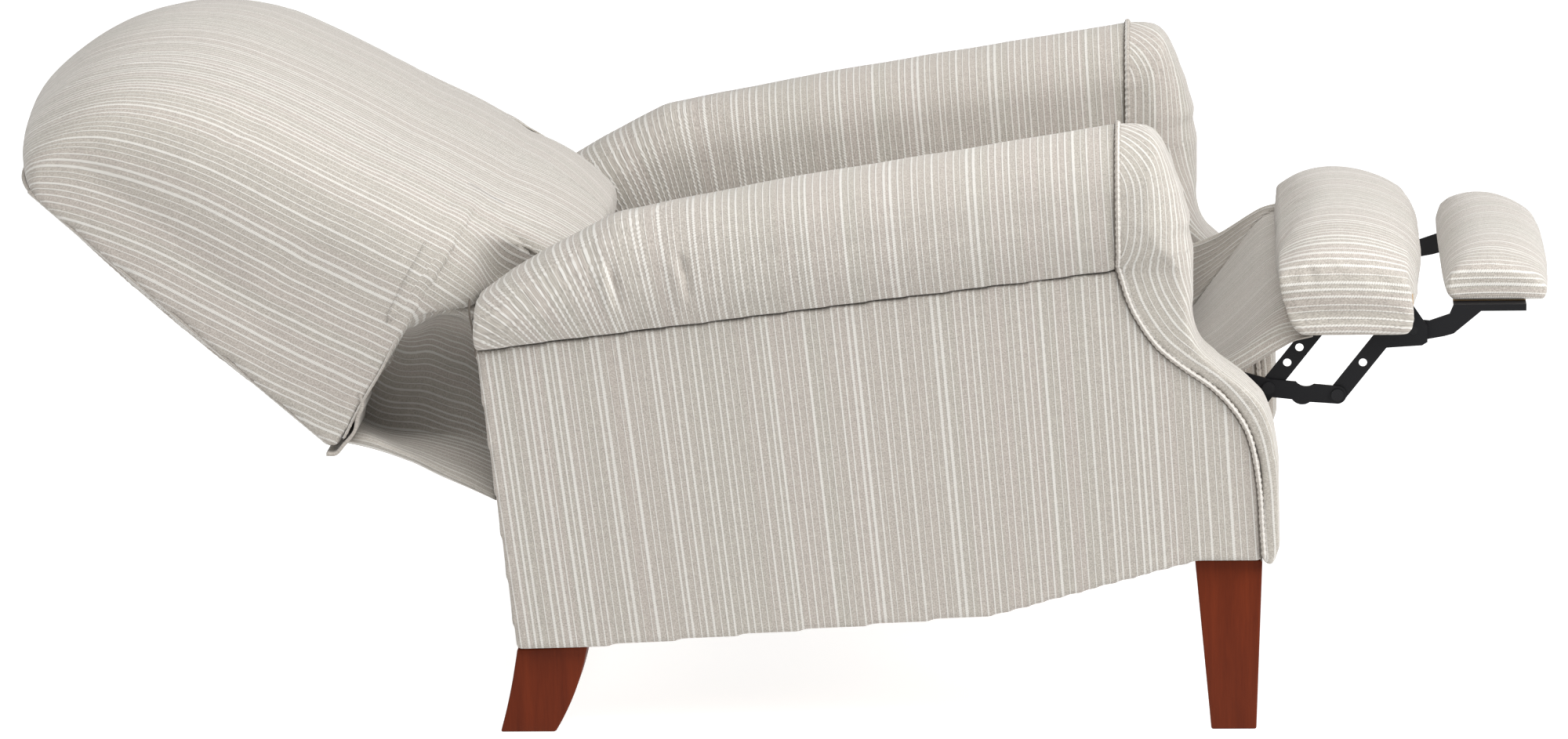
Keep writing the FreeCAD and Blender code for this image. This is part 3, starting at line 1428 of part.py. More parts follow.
def back_section(y, depth_share, height_share):
    """The section of the back's upper part at a place across the chair."""
    depth = size.back_foot_depth.value * depth_share
    start = size.back_cut_start.value
    slope = size.back_cut_rise.value / size.back_foot_depth.value

    def point(key):
        across, up = BACK_OUTLINE_SHARES[key]
        x = depth * across
        cut_z = start + slope * x
        return FreeCAD.Vector(x, y, cut_z + (size.back_height.value * up - cut_z) * height_share)

    heel = FreeCAD.Vector(0, y, start)
    toe = FreeCAD.Vector(depth, y, start + slope * depth)
    return Part.Wire([
        Part.makeLine(heel, point("rear_top")),
        arc_through(point("rear_top"), point("rear_round"), point("crest")),
        arc_through(point("crest"), point("crest_round"), point("shoulder")),
        arc_through(point("shoulder"), point("shoulder_round"), point("breast")),
        arc_through(point("breast"), point("breast_round"), toe),
        Part.makeLine(toe, heel),
    ])


def build_back_cushion():
    half = size.back_half_width.value
    wires = [back_section(half * y, depth, height) for y, depth, height in BACK_STATION_SHARES]
    shell = solid_feature("back_cushion_upper", Part.makeLoft(wires, True, False))
    neck_half = neck_half_width.value
    neck_wires = [neck_section(neck_half * y, share) for y, share in NECK_STATION_SHARES]
    neck = solid_feature("back_cushion_neck", Part.makeLoft(neck_wires, True, False))
    whole = join("back_cushion_whole", [shell, neck])
    slack = size.soft_gap
    pocket = block("back_pocket", -size.back_panel_thickness, size.back_frame_bottom - slack,
                   size.back_frame_thickness + size.back_pocket_slack, size.back_frame_top + slack,
                   size.back_post_inner_y + size.back_post_width + slack)
    hollows = [pocket]
    slot_inner = size.back_bracket_inner_y - size.back_slot_play
    slot_outer = size.back_post_inner_y + size.back_slot_play
    for side_name, side in SIDES:
        low_y, high_y = span(side, slot_inner, slot_outer)
        slot = rectangle(size.back_cleat, -size.back_cut_start, size.back_slot_depth,
                         size.back_frame_bottom + size.back_rail_height + size.back_cleat)
        hollows.append(plate(f"back_slot_{side_name}", slot, low_y, high_y))
    cushion = cut("back_cushion", whole, join("back_hollow", hollows))
    in_back(cushion)
    keep("back_cushion", cushion)


def neck_section(y, share):
    """The lower part of the back, which reaches down between the arms."""
    start_x = size.back_frame_foot.value
    depth = size.back_foot_depth.value * share
    toe_x = start_x + (size.back_toe_x.value - start_x) * share
    toe_z = -size.back_toe_depth.value
    toe_round = size.back_toe_round.value
    rise = size.back_cut_rise.value * NECK_SHARES["toe_rise"]
    points = {
        "root": (start_x, size.back_cut_start.value + rise * NECK_SHARES["root"]),
        "breast": (depth, size.back_cut_start.value + rise),
        "bow": (toe_x, toe_z * NECK_SHARES["bow"]),
        "toe": (toe_x, toe_z),
        "heel": (toe_x - toe_round, toe_z - toe_round),
        "tip": (toe_x - toe_round * NECK_SHARES["tip"], toe_z - toe_round),
    }
    spots = {name: FreeCAD.Vector(x, y, z) for name, (x, z) in points.items()}
    return Part.Wire([
        Part.makeLine(spots["root"], spots["breast"]),
        arc_through(spots["breast"], spots["bow"], spots["toe"]),
        Part.makeLine(spots["toe"], spots["heel"]),
        Part.makeLine(spots["heel"], spots["tip"]),
        Part.makeLine(spots["tip"], spots["root"]),
    ])


def build_back_frame():
    depth = size.back_frame_thickness
    low, high = size.back_frame_bottom, size.back_frame_top
    rail = size.back_rail_height
    bolts = [((size.back_bolt_depth, size.back_bolt_low_z), bore),
             ((size.back_bolt_depth, size.back_bolt_high_z), bore)]
    pieces = []
    for side_name, side in SIDES:
        low_y, high_y = span(side, size.back_post_inner_y, size.back_post_inner_y + size.back_post_width)
        pieces.append(plate(f"back_post_{side_name}", rectangle(ZERO, low, depth, high),
                            low_y, high_y, bolts))
    inner = size.back_post_inner_y
    cleat = size.back_cleat
    rail_end = size.back_bracket_inner_y - size.back_slot_play
    pieces.append(block("back_top_rail", ZERO, high - rail, depth, high, inner))
    pieces.append(block("back_bottom_rail", ZERO, low, depth, low + rail, rail_end))
    pieces.append(block("back_bottom_cleat", ZERO, low, cleat, low + rail, inner))
    frame = join("back_frame", pieces)
    in_back(frame)
    keep("back_frame", frame)

    panel_outline = [
        (ZERO, size.back_panel_foot),
        (ZERO, size.back_panel_top),
        Via(-size.back_panel_crown, (size.back_panel_foot + size.back_panel_top) * HALF_SHARE),
    ]
    panel = plate("back_rear_panel", panel_outline, -size.back_panel_half_width,
                  size.back_panel_half_width)
    in_back(panel)
    keep("back_rear_panel", panel)

    springs = []
    wire = size.spring_wire_radius.value
    length = (high - low - rail).value
    spread = size.back_spring_half_width.value * DOUBLE_SHARE / (BACK_SPRINGS - 1)
    for number in range(BACK_SPRINGS):
        spring = zigzag_spring(f"back_spring_{number + 1}", length, size.seat_spring_swing.value,
                               BACK_SPRING_WAVES, wire)
        y = (number - (BACK_SPRINGS - 1) * HALF_SHARE) * spread
        lift = size.spring_wire_radius + size.soft_gap * HALF_SHARE
        start = back_place(depth + lift, low + rail * HALF_SHARE)
        turn = FreeCAD.Rotation(FreeCAD.Vector(0, 1, 0), -back_angle - RIGHT_ANGLE)
        spring.Placement = FreeCAD.Placement(FreeCAD.Vector(start[0], y, start[1]), turn)
        springs.append(spring)
    keep("back_springs", group("back_springs", springs))


def build_back_bracket(name, side):
    low_y, high_y = span(side, size.back_bracket_inner_y,
                         size.back_bracket_inner_y + size.back_bracket_thickness)
    half = size.back_bracket_width * HALF_SHARE
    length = as_size(bracket_length)
    arm = plate(f"back_bracket_arm_{name}", capsule(length, half), low_y, high_y,
                [((ZERO, ZERO), bore), ((length, ZERO), bore)])
    place(arm, back_pivot[0], back_pivot[1], bracket_tilt)
    leaf_length = size.back_bolt_high_z - size.back_bolt_low_z
    leaf = plate(f"back_bracket_leaf_{name}", capsule(leaf_length, half), low_y, high_y,
                 [((ZERO, ZERO), bore), ((leaf_length, ZERO), bore)])
    place(leaf, bracket_bolt_low[0], bracket_bolt_low[1], back_angle + RIGHT_ANGLE)
    keep(f"back_bracket_{name}", join(f"back_bracket_{name}", [arm, leaf]))


def build_back_bolts():
    bolts = []
    inner = size.back_bracket_inner_y
    outer = inner + size.back_bracket_thickness + size.back_bolt_length
    for side_name, side in SIDES:
        for end, height in (("low", size.back_bolt_low_z), ("high", size.back_bolt_high_z)):
            point = back_place(size.back_bolt_depth, height)
            bolts.append(pivot_pin(f"back_bolt_{end}_{side_name}", point, inner, outer, side,
                                   True, False))
    keep("back_bolts", group("back_bolts", bolts))


# Fabric that folds between moving pieces

def strip(path, thickness):
    """A closed outline that follows a path at a thickness above it."""
    upper = []
    for number, (x, z) in enumerate(path):
        before = path[max(number - 1, 0)]
        after = path[min(number + 1, len(path) - 1)]
        run = after[0] - before[0]
        rise = after[1] - before[1]
        reach = math.hypot(run, rise)
        upper.append((x - rise / reach * thickness, z + run / reach * thickness))
    return list(path) + upper[::-1]


def build_gusset():
    share = GUSSET_SHARES
    cloth = size.cloth_thickness.value
    half = neck_half_width + size.gusset_play
    front_z = size.rear_panel_top_z.value * share["hem"]
    front_x = rear_edge_x(as_size(front_z)).value - cloth
    rear = back_place(size.back_frame_foot * share["rear_in"], ZERO)
    sag = (rear[0] + (front_x - rear[0]) * share["sag_x"],
           rear[1] + (front_z - rear[1]) * share["sag_z"])
    path = [rear, sag, (front_x, front_z)]
    sheet_piece = plate("gusset_sheet", strip(path, cloth), -half, half)
    slack = size.soft_gap.value * share["slack"]
    cut_z = size.back_cut_start - slack
    cut_rear = back_place(size.back_frame_foot * share["rear_in"], cut_z)
    cut_front = back_place(size.back_foot_depth * share["front_in"],
                           cut_z + size.back_cut_rise * share["front_in"])
    shoulder_x = front_x - cloth * share["lap"]
    wall = [rear, sag, (front_x, front_z), (front_x, front_z + cloth * share["lip"]),
            (shoulder_x, cut_front[1]), cut_front, cut_rear]
    pieces = [sheet_piece]
    for side_name, side in SIDES:
        low_y, high_y = span(side, half, half + size.cloth_thickness)
        pieces.append(plate(f"gusset_wall_{side_name}", wall, low_y, high_y))
    keep("rear_gusset", join("rear_gusset", pieces))


def build_flap():
    share = FLAP_SHARES
    cloth = size.cloth_thickness.value
    half = size.flap_half_width
    board_x = (size.seat_board_front_x + size.soft_gap).value
    board_z = size.seat_front_rail_top_z.value
    pad_rear_x = front_bracket_pivot[0] - footrest_pad_rear.value
    pad_low_x = front_bracket_pivot[0] - footrest_board_rear.value
    pad_low_z = front_bracket_pivot[1] - size.footrest_pad_depth.value
    span_x = pad_rear_x - board_x
    drop = board_z * share["drop"]
    seat_edge = (board_x, board_z)
    low = (board_x + span_x * share["low_x"], board_z - drop)
    middle = (board_x + span_x * share["middle_x"], board_z - drop * share["middle_z"])
    end = (pad_rear_x + span_x * share["end_x"], pad_low_z + drop * share["end_z"])
    sheet_piece = plate("flap_sheet", strip([seat_edge, low, middle, end], cloth), -half, half)
    wall = [
        middle,
        (middle[0] + span_x * share["lip"], middle[1] - drop * share["lip"]),
        (pad_low_x - cloth, pad_low_z),
        end,
    ]
    pieces = [sheet_piece]
    for side_name, side in SIDES:
        low_y, high_y = span(side, half - size.cloth_thickness, half)
        pieces.append(plate(f"flap_wall_{side_name}", wall, low_y, high_y))
    keep("footrest_flap", join("footrest_flap", pieces))


def build_torque_tube():
    """The tube on the hub axis that makes both sides of the footrest move alike."""
    tube = rod("footrest_torque_tube", hub[0], hub[1], size.torque_tube_radius,
               -rear_layer_y, rear_layer_y)
    keep("footrest_torque_tube", tube)


for side_name, side_sign in SIDES:
    build_arm(side_name, side_sign)
    build_front_leg(side_name, side_sign)
    build_rear_leg(side_name, side_sign)
    build_mechanism(side_name, side_sign)
    build_links(side_name, side_sign)
    build_footrest_bracket(side_name, side_sign)
    build_flip_arm(side_name, side_sign)
    build_back_bracket(side_name, side_sign)
build_base()
build_fasteners()
build_pins()
build_footrest()
build_extension()
build_seat()
build_back_cushion()
build_back_frame()
build_back_bolts()
build_gusset()
build_flap()
build_torque_tube()
doc.recompute()


# Writing the pieces

def check_and_write():
    for item in doc.Objects:
        if "Invalid" in item.State or "Error" in item.State:
            raise RuntimeError(f"{item.Label} did not build: {item.State}")
    for label, item in parts.items():
        if item.Shape.isNull() or not item.Shape.isValid():
            raise RuntimeError(f"{label} has no valid shape")
    os.makedirs("parts", exist_ok=True)
    for label, item in parts.items():
        item.Shape.exportStep(f"parts/{label}.step")


check_and_write()
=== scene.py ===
"""A reclining armchair in striped fabric, with its back down and its footrest out."""
import json
import math

import bmesh
import bpy
import numpy as np
from mathutils import Matrix, Vector
from mathutils.bvhtree import BVHTree


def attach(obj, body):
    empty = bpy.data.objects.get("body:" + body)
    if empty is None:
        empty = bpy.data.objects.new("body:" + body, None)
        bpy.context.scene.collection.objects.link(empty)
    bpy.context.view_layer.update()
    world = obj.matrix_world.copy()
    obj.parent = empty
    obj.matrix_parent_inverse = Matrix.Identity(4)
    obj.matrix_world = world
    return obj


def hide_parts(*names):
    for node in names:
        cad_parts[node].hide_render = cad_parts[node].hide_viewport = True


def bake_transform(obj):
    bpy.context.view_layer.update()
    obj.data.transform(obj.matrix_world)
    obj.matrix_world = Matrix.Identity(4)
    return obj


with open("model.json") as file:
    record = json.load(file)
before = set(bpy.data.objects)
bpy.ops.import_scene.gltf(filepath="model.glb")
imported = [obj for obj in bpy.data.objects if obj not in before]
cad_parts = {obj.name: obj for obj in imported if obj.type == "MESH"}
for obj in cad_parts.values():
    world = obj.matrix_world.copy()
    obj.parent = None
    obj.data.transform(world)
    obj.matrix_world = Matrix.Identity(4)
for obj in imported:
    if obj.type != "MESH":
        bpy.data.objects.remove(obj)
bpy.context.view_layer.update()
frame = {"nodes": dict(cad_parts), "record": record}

SIDES = (("right", -1), ("left", 1))

# Meshes


def positions(obj):
    """The points of a mesh object, as rows"""
    co = np.empty(len(obj.data.vertices) * 3, np.float32)
    obj.data.vertices.foreach_get("co", co)
    return co.reshape(-1, 3).astype(float)


def set_positions(obj, co):
    """Moves the points of a mesh object to the given rows"""
    obj.data.vertices.foreach_set("co", np.asarray(co, np.float32).ravel())
    obj.data.update()


def normals(obj):
    """The normals at the points of a mesh object, as rows"""
    no = np.empty(len(obj.data.vertices) * 3, np.float32)
    obj.data.vertex_normals.foreach_get("vector", no)
    return no.reshape(-1, 3).astype(float)


def edges(obj):
    """The two points of each edge, as rows"""
    pairs = np.empty(len(obj.data.edges) * 2, np.int32)
    obj.data.edges.foreach_get("vertices", pairs)
    return pairs.reshape(-1, 2)


def link(obj):
    bpy.context.scene.collection.objects.link(obj)
    return obj


def mesh_object(name, points, faces):
    mesh = bpy.data.meshes.new(name)
    mesh.from_pydata([tuple(p) for p in points], [], [tuple(f) for f in faces])
    mesh.update()
    return link(bpy.data.objects.new(name, mesh))


def cad_copy(name, *nodes):
    """One new object with copies of the CAD nodes' meshes"""
    work = bmesh.new()
    for node in nodes:
        work.from_mesh(frame["nodes"][node].data)
    mesh = bpy.data.meshes.new(name)
    work.to_mesh(mesh)
    work.free()
    return link(bpy.data.objects.new(name, mesh))


def apply_modifiers(obj):
    """Swaps the object's mesh for its evaluated one"""
    bpy.context.view_layer.update()
    graph = bpy.context.evaluated_depsgraph_get()
    mesh = bpy.data.meshes.new_from_object(obj.evaluated_get(graph))
    old = obj.data
    obj.modifiers.clear()
    obj.data = mesh
    bpy.data.meshes.remove(old)
    mesh.name = obj.name
    return obj


def remesh(obj, size):
    modifier = obj.modifiers.new("Remesh", "REMESH")
    modifier.mode = "VOXEL"
    modifier.voxel_size = size
    return apply_modifiers(obj)


def subdivide(obj, levels=1):
    modifier = obj.modifiers.new("Subdivision", "SUBSURF")
    modifier.levels = modifier.render_levels = levels
    return apply_modifiers(obj)


SMOOTH_IN, SMOOTH_OUT = 0.6, -0.55  # a step towards the neighbours and one back, which keeps the volume


def smooth(obj, times):
    """Evens out the points, each towards the mean of its neighbours and most of the way back"""
    co = positions(obj)
    pairs = edges(obj)
    count = np.bincount(pairs.ravel(), minlength=len(co))[:, None].clip(1)

    def step(co, share):
        total = np.zeros_like(co)
        for axis in range(3):
            total[:, axis] = np.bincount(pairs[:, 0], co[pairs[:, 1], axis], len(co))
            total[:, axis] += np.bincount(pairs[:, 1], co[pairs[:, 0], axis], len(co))
        return co + share * (total / count - co)

    for _ in range(times):
        co = step(step(co, SMOOTH_IN), SMOOTH_OUT)
    set_positions(obj, co)
    return obj


def shade_smooth(obj):
    obj.data.polygons.foreach_set("use_smooth", np.ones(len(obj.data.polygons), bool))
    obj.data.update()
    return obj


def ramp(x, low, high):
    """0 below low, 1 above high and a smooth turn between"""
    t = np.clip((np.asarray(x, float) - low) / (high - low), 0, 1)
    return t * t * (3 - 2 * t)


def wave(co, scale, seed=0.0):
    """Soft unevenness from a few sine waves, about -1 to 1"""
    x, y, z = (co / scale).T
    return (
        np.sin(1.9 * x + 0.7 * y + 1.3 * seed)
        + np.sin(1.1 * z - 1.7 * y + 2.1 * seed)
        + np.sin(2.3 * x + 1.9 * z + 0.4 * y - seed)
        + np.sin(2.9 * y + 0.9 * z - 0.8 * x + 3.0 * seed)
    ) / 4


# Stripes


def unit(v):
    """The rows brought to length 1"""
    return v / np.linalg.norm(v, axis=1).clip(1e-9)[:, None]


MOST_STEPS = 900  # of the search for a stripe field
CLOSE_ENOUGH = 1e-8  # what may be left of its first error


def field(co, pairs, slope):
    """The smooth field over joined points whose slope along them is nearest the given tangent vectors"""
    a, b = pairs.T
    step = co[b] - co[a]
    weight = 1 / np.linalg.norm(step, axis=1).clip(1e-6)
    weight /= weight.mean()
    rise = np.einsum("ij,ij->i", (slope[a] + slope[b]) / 2, step)

    def spread(values):
        return np.bincount(b, values, len(co)) - np.bincount(a, values, len(co))

    main = slope.mean(0)
    x = co @ (main / max(np.linalg.norm(main), 1e-9))
    diagonal = (np.bincount(a, weight, len(co)) + np.bincount(b, weight, len(co))).clip(1e-9)
    r = spread(weight * (rise - (x[b] - x[a])))
    z = r / diagonal
    p = z.copy()
    rz = r @ z
    start = max(rz, 1e-30)
    for _ in range(MOST_STEPS):
        q = spread(weight * (p[b] - p[a]))
        alpha = rz / max(p @ q, 1e-30)
        x += alpha * p
        r -= alpha * q
        z = r / diagonal
        new = r @ z
        if new < CLOSE_ENOUGH * start:
            break
        p = z + (new / rz) * p
        rz = new
    return x


def faces_of(obj):
    """Each face corner's point, face and next corner, then the faces' middles and normals"""
    mesh = obj.data
    corner = np.empty(len(mesh.loops), np.int32)
    mesh.loops.foreach_get("vertex_index", corner)
    total = np.empty(len(mesh.polygons), np.int32)
    mesh.polygons.foreach_get("loop_total", total)
    first = np.empty(len(mesh.polygons), np.int32)
    mesh.polygons.foreach_get("loop_start", first)
    middle = np.empty(len(mesh.polygons) * 3, np.float32)
    mesh.polygons.foreach_get("center", middle)
    normal = np.empty(len(mesh.polygons) * 3, np.float32)
    mesh.polygons.foreach_get("normal", normal)
    face = np.repeat(np.arange(len(total)), total)
    following = np.arange(len(corner)) + 1
    following[first + total - 1] = first
    return corner, face, following, middle.reshape(-1, 3).astype(float), normal.reshape(-1, 3).astype(float)


def keep_stripes(obj, values):
    """Stores the stripes' coordinates, and any painted shade, with the face corners"""
    keep = obj.data.attributes.new("stripe", "FLOAT_VECTOR", "CORNER")
    keep.data.foreach_set("vector", np.asarray(values, np.float32).ravel())
    return obj


def lay_by(obj, place):
    """Lays the stripes over a mesh by a function of its points"""
    return keep_stripes(obj, place(positions(obj))[faces_of(obj)[0]])


MOST_LABELS = 64  # that one piece's stripes can be cut into


def lay(obj, across, cut=None):
    """Lays the stripes over a mesh: each face corner keeps how far it is across and along them, in metres

    The stripes step on in the given direction as far as the surface lets them, and start afresh where cut
    changes.
    """
    corner, face, following, middle, face_normal = faces_of(obj)
    label = np.zeros(len(middle), int) if cut is None else np.asarray(cut(middle, face_normal), int)
    keys = corner.astype(np.int64) * MOST_LABELS + label[face]
    unique, index = np.unique(keys, return_inverse=True)
    point = (unique // MOST_LABELS).astype(int)
    pairs = np.stack([index, index[following]], 1)
    pairs = np.unique(np.sort(pairs, 1), axis=0)
    co = positions(obj)[point]
    n = normals(obj)[point]
    g = across(co, n) if callable(across) else np.broadcast_to(np.asarray(across, float), co.shape)
    g = unit(g - n * np.einsum("ij,ij->i", g, n)[:, None])
    values = np.stack([field(co, pairs, g), field(co, pairs, np.cross(n, g)), np.zeros(len(co))], 1)
    return keep_stripes(obj, values[index])


# Materials


class Nodes:
    """Short ways to add and join shader nodes"""

    def __init__(self, name):
        self.material = bpy.data.materials.new(name)
        self.material.use_nodes = True
        self.tree = self.material.node_tree
        self.shader = self.tree.nodes["Principled BSDF"]

    def add(self, kind, inputs=(), **settings):
        node = self.tree.nodes.new(kind)
        for key, value in settings.items():
            setattr(node, key, value)
        for key, value in dict(inputs).items():
            if isinstance(value, bpy.types.NodeSocket):
                self.tree.links.new(value, node.inputs[key])
            else:
                node.inputs[key].default_value = value
        return node

    def math(self, operation, a, b=0.0, c=0.0):
        node = self.add("ShaderNodeMath", {0: a, 1: b, 2: c}, operation=operation)
        return node.outputs[0]

    def mix(self, share, a, b):
        node = self.add("ShaderNodeMix", data_type="RGBA")
        for index, value in ((0, share), (6, a), (7, b)):
            if isinstance(value, bpy.types.NodeSocket):
                self.tree.links.new(value, node.inputs[index])
            else:
                node.inputs[index].default_value = value
        return node.outputs[2]

    def noise(self, vector, scale, detail=2.0, rough=0.5):
        inputs = {"Vector": vector, "Scale": scale, "Detail": detail, "Roughness": rough}
        return self.add("ShaderNodeTexNoise", inputs).outputs["Fac"]

    def spread(self, value, low, high, least=0.0, most=1.0, kind="LINEAR"):
        inputs = {0: value, 1: low, 2: high, 3: least, 4: most}
        return self.add("ShaderNodeMapRange", inputs, interpolation_type=kind).outputs[0]

    def random(self, value):
        node = self.add("ShaderNodeTexWhiteNoise", {"W": value}, noise_dimensions="1D")
        split = self.add("ShaderNodeSeparateColor", {0: node.outputs["Color"]})
        return split.outputs[0], split.outputs[1], split.outputs[2]

    def bump(self, height, strength, distance):
        inputs = {"Height": height, "Strength": strength, "Distance": distance}
        return self.add("ShaderNodeBump", inputs).outputs[0]

    def to(self, **sockets):
        for key, value in sockets.items():
            socket = self.shader.inputs[key.replace("_", " ")]
            if isinstance(value, bpy.types.NodeSocket):
                self.tree.links.new(value, socket)
            else:
                socket.default_value = value
        return self.material


def opaque(rgb):
    return (*rgb, 1.0)


PITCH = 0.0073  # the mean step from one stripe to the next
STITCH = 0.0019  # the length of one stitch of the raised cords
BAND = 0.017  # the width of a band of one ground tone
GROUND, WARM_GROUND = (0.335, 0.312, 0.277), (0.347, 0.314, 0.283)
CORD_TONE = (0.555, 0.540, 0.508)
# The dark colour of painted shade, mixed into the cloth in folds where little light reaches
PAINTED_SHADE_TONE = (0.045, 0.038, 0.031)
PATCH_SCALE, WEAVE_SCALE = 130.0, 620.0
STITCH_SLANT = 9.0  # how far the stitches turn across one step, in radians
CORD_EDGE = 0.05  # half the soft edge of a cord, as a share of the step
CORD_HEIGHT = 0.0009


def striped(name):
    """Greige wool weave with raised off-white cords of uneven width, darkened towards a painted shade tone
    by the stripe attribute's third value
    """
    s = Nodes(name)
    stripe = s.add("ShaderNodeAttribute", attribute_type="GEOMETRY", attribute_name="stripe")
    split = s.add("ShaderNodeSeparateXYZ", {0: stripe.outputs["Vector"]})
    across, along, dim = split.outputs
    place = s.add("ShaderNodeCombineXYZ", {0: across, 1: along}).outputs[0]
    steps = s.math("DIVIDE", across, PITCH)
    cell = s.math("FLOOR", steps)
    inside = s.math("FRACT", steps)
    shift, width, tone = s.random(cell)
    slant = s.math("MULTIPLY", inside, STITCH_SLANT)
    turn = s.math("MULTIPLY_ADD", s.math("DIVIDE", along, STITCH), 2 * math.pi, slant)
    stitch = s.math("MULTIPLY_ADD", s.math("SINE", turn), 0.5, 0.5)
    patch = s.noise(place, PATCH_SCALE, 3.0, 0.6)
    centre = s.math("MULTIPLY_ADD", shift, 0.26, 0.37)
    half = s.math("MULTIPLY_ADD", s.math("POWER", width, 1.6), 0.175, 0.062)
    half = s.math("MULTIPLY", half, s.math("MULTIPLY_ADD", stitch, 0.45, 0.72))
    half = s.math("MULTIPLY", half, s.math("MULTIPLY_ADD", patch, 0.6, 0.7))
    off = s.math("ABSOLUTE", s.math("SUBTRACT", inside, centre))
    edge = s.spread(s.math("SUBTRACT", off, half), -CORD_EDGE, CORD_EDGE, 1.0, 0.0, "SMOOTHSTEP")
    fine = s.noise(place, WEAVE_SCALE, 3.0, 0.75)
    band = s.random(s.math("FLOOR", s.math("DIVIDE", across, BAND)))[0]
    fleck = s.spread(fine, 0.3, 0.7, 0.66, 1.34)
    fleck = s.math("MULTIPLY", fleck, s.math("MULTIPLY_ADD", patch, 0.30, 0.85))
    base = s.mix(band, opaque(GROUND), opaque(WARM_GROUND))
    fleck = s.add("ShaderNodeCombineXYZ", {0: fleck, 1: fleck, 2: fleck}).outputs[0]
    base = s.add("ShaderNodeVectorMath", {0: base, 1: fleck}, operation="MULTIPLY").outputs[0]
    gap = s.math("MULTIPLY", s.math("SUBTRACT", 1.0, stitch), s.math("MULTIPLY_ADD", tone, 0.22, 0.24))
    share = s.math("MULTIPLY", edge, s.math("SUBTRACT", 1.0, gap))
    colour = s.mix(share, base, opaque(CORD_TONE))
    # Painted shade: the third stored value darkens the cloth towards the painted shade tone
    colour = s.mix(dim, colour, opaque(PAINTED_SHADE_TONE))
    height = s.math("MULTIPLY", edge, s.math("MULTIPLY_ADD", stitch, 0.35, 0.65))
    height = s.math("MULTIPLY_ADD", fine, 0.3, height)
    s.to(Base_Color=colour, Roughness=0.92, Normal=s.bump(height, 0.6, CORD_HEIGHT))
    s.to(Sheen_Weight=0.2, Sheen_Roughness=0.55, Specular_IOR_Level=0.12)
    return s.material


GRAIN_SCALE, PORE_SCALE = (60, 60, 5), (900, 900, 45)


def wood(name, light, dark, roughness):
    """Stained wood with its grain along Z"""
    s = Nodes(name)
    here = s.add("ShaderNodeTexCoord").outputs["Object"]
    long = s.add("ShaderNodeMapping", {"Vector": here, "Scale": GRAIN_SCALE}).outputs[0]
    grain = s.noise(long, 1.0, 6.0, 0.62)
    fine = s.add("ShaderNodeMapping", {"Vector": here, "Scale": PORE_SCALE}).outputs[0]
    pores = s.noise(fine, 1.0, 3.0, 0.6)
    share = s.spread(s.math("MULTIPLY_ADD", pores, 0.35, grain), 0.42, 0.95)
    s.to(Base_Color=s.mix(share, opaque(dark), opaque(light)), Roughness=roughness)
    s.to(Normal=s.bump(pores, 0.15, 0.0004), Specular_IOR_Level=0.10)
    return s.material


def metal(name, colour, roughness):
    """Painted or blackened steel, a little uneven in its shine"""
    s = Nodes(name)
    here = s.add("ShaderNodeTexCoord").outputs["Object"]
    grain = s.noise(here, 700.0, 2.0, 0.5)
    patch = s.noise(here, 18.0, 2.0, 0.5)
    rough = s.spread(patch, 0.3, 0.7, roughness - 0.06, roughness + 0.08)
    s.to(Base_Color=opaque(colour), Roughness=rough, Specular_IOR_Level=0.14)
    s.to(Normal=s.bump(grain, 0.12, 0.0003))
    return s.material


def plain(name, colour, roughness):
    """One dull colour with a fine grain"""
    s = Nodes(name)
    here = s.add("ShaderNodeTexCoord").outputs["Object"]
    grain = s.noise(here, 600.0, 3.0, 0.6)
    s.to(Base_Color=opaque(colour), Roughness=roughness, Normal=s.bump(grain, 0.2, 0.0004))
    return s.material


FABRIC = striped("stripe_fabric")
# Painted shadow: a dark dull colour for thin cords laid where seams lie in shade
SHADE = plain("seam_shadow", (0.10, 0.085, 0.07), 0.95)
CHERRY = wood("leg_wood", (0.122, 0.019, 0.0045), (0.070, 0.010, 0.0024), 0.45)
BOARD = wood("frame_wood", (0.55, 0.40, 0.24), (0.36, 0.23, 0.12), 0.7)
BLACK = metal("black_metal", (0.007, 0.007, 0.008), 0.42)
STEEL = metal("pin_steel", (0.010, 0.010, 0.011), 0.34)
BY_SLOT = {
    "stripe_fabric": FABRIC,
    "leg_wood": CHERRY,
    "frame_wood": BOARD,
    "black_metal": BLACK,
    "pin_steel": STEEL,
}


def paint(obj, material):
    obj.data.materials.clear()
    obj.data.materials.append(material)
    return obj


for subpart in frame["record"]["subparts"]:
    paint(frame["nodes"][subpart["node"]], BY_SLOT[subpart["material_slot"]])


# Soft pieces


PRESSURE, LAST_FRAME = 4.0, 20  # of the cloth simulation


def inflate(obj, held, cap):
    """Swells a closed cover like one with stuffing in it

    held is 1 where the cover is sewn or rests, and no point moves further than cap.
    """
    rest = positions(obj)
    group = obj.vertex_groups.new(name="held")
    for index in np.flatnonzero(held > 0.01):
        group.add([int(index)], float(min(held[index], 1.0)), "REPLACE")
    cloth = obj.modifiers.new("Cloth", "CLOTH")
    cloth.settings.quality = 5
    cloth.settings.mass = 0.3
    cloth.settings.use_pressure = True
    cloth.settings.uniform_pressure_force = PRESSURE
    cloth.settings.vertex_group_mass = "held"
    cloth.settings.effector_weights.gravity = 0
    cloth.collision_settings.use_collision = False
    cloth.point_cache.frame_start = 1
    cloth.point_cache.frame_end = LAST_FRAME
    for frame_number in range(1, LAST_FRAME + 1):
        bpy.context.scene.frame_set(frame_number)
    apply_modifiers(obj)
    bpy.context.scene.frame_set(1)
    move = positions(obj) - rest
    length = np.linalg.norm(move, axis=1).clip(1e-9)[:, None]
    set_positions(obj, rest + move * (cap * np.tanh(length / cap) / length))
    obj.vertex_groups.clear()
    return obj


def upholster(obj, body, nodes=(), material=None):
    """Covers the piece and says what it rides on and replaces"""
    paint(shade_smooth(obj), material or FABRIC)
    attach(obj, body)
    if nodes:
        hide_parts(*nodes)
    return obj


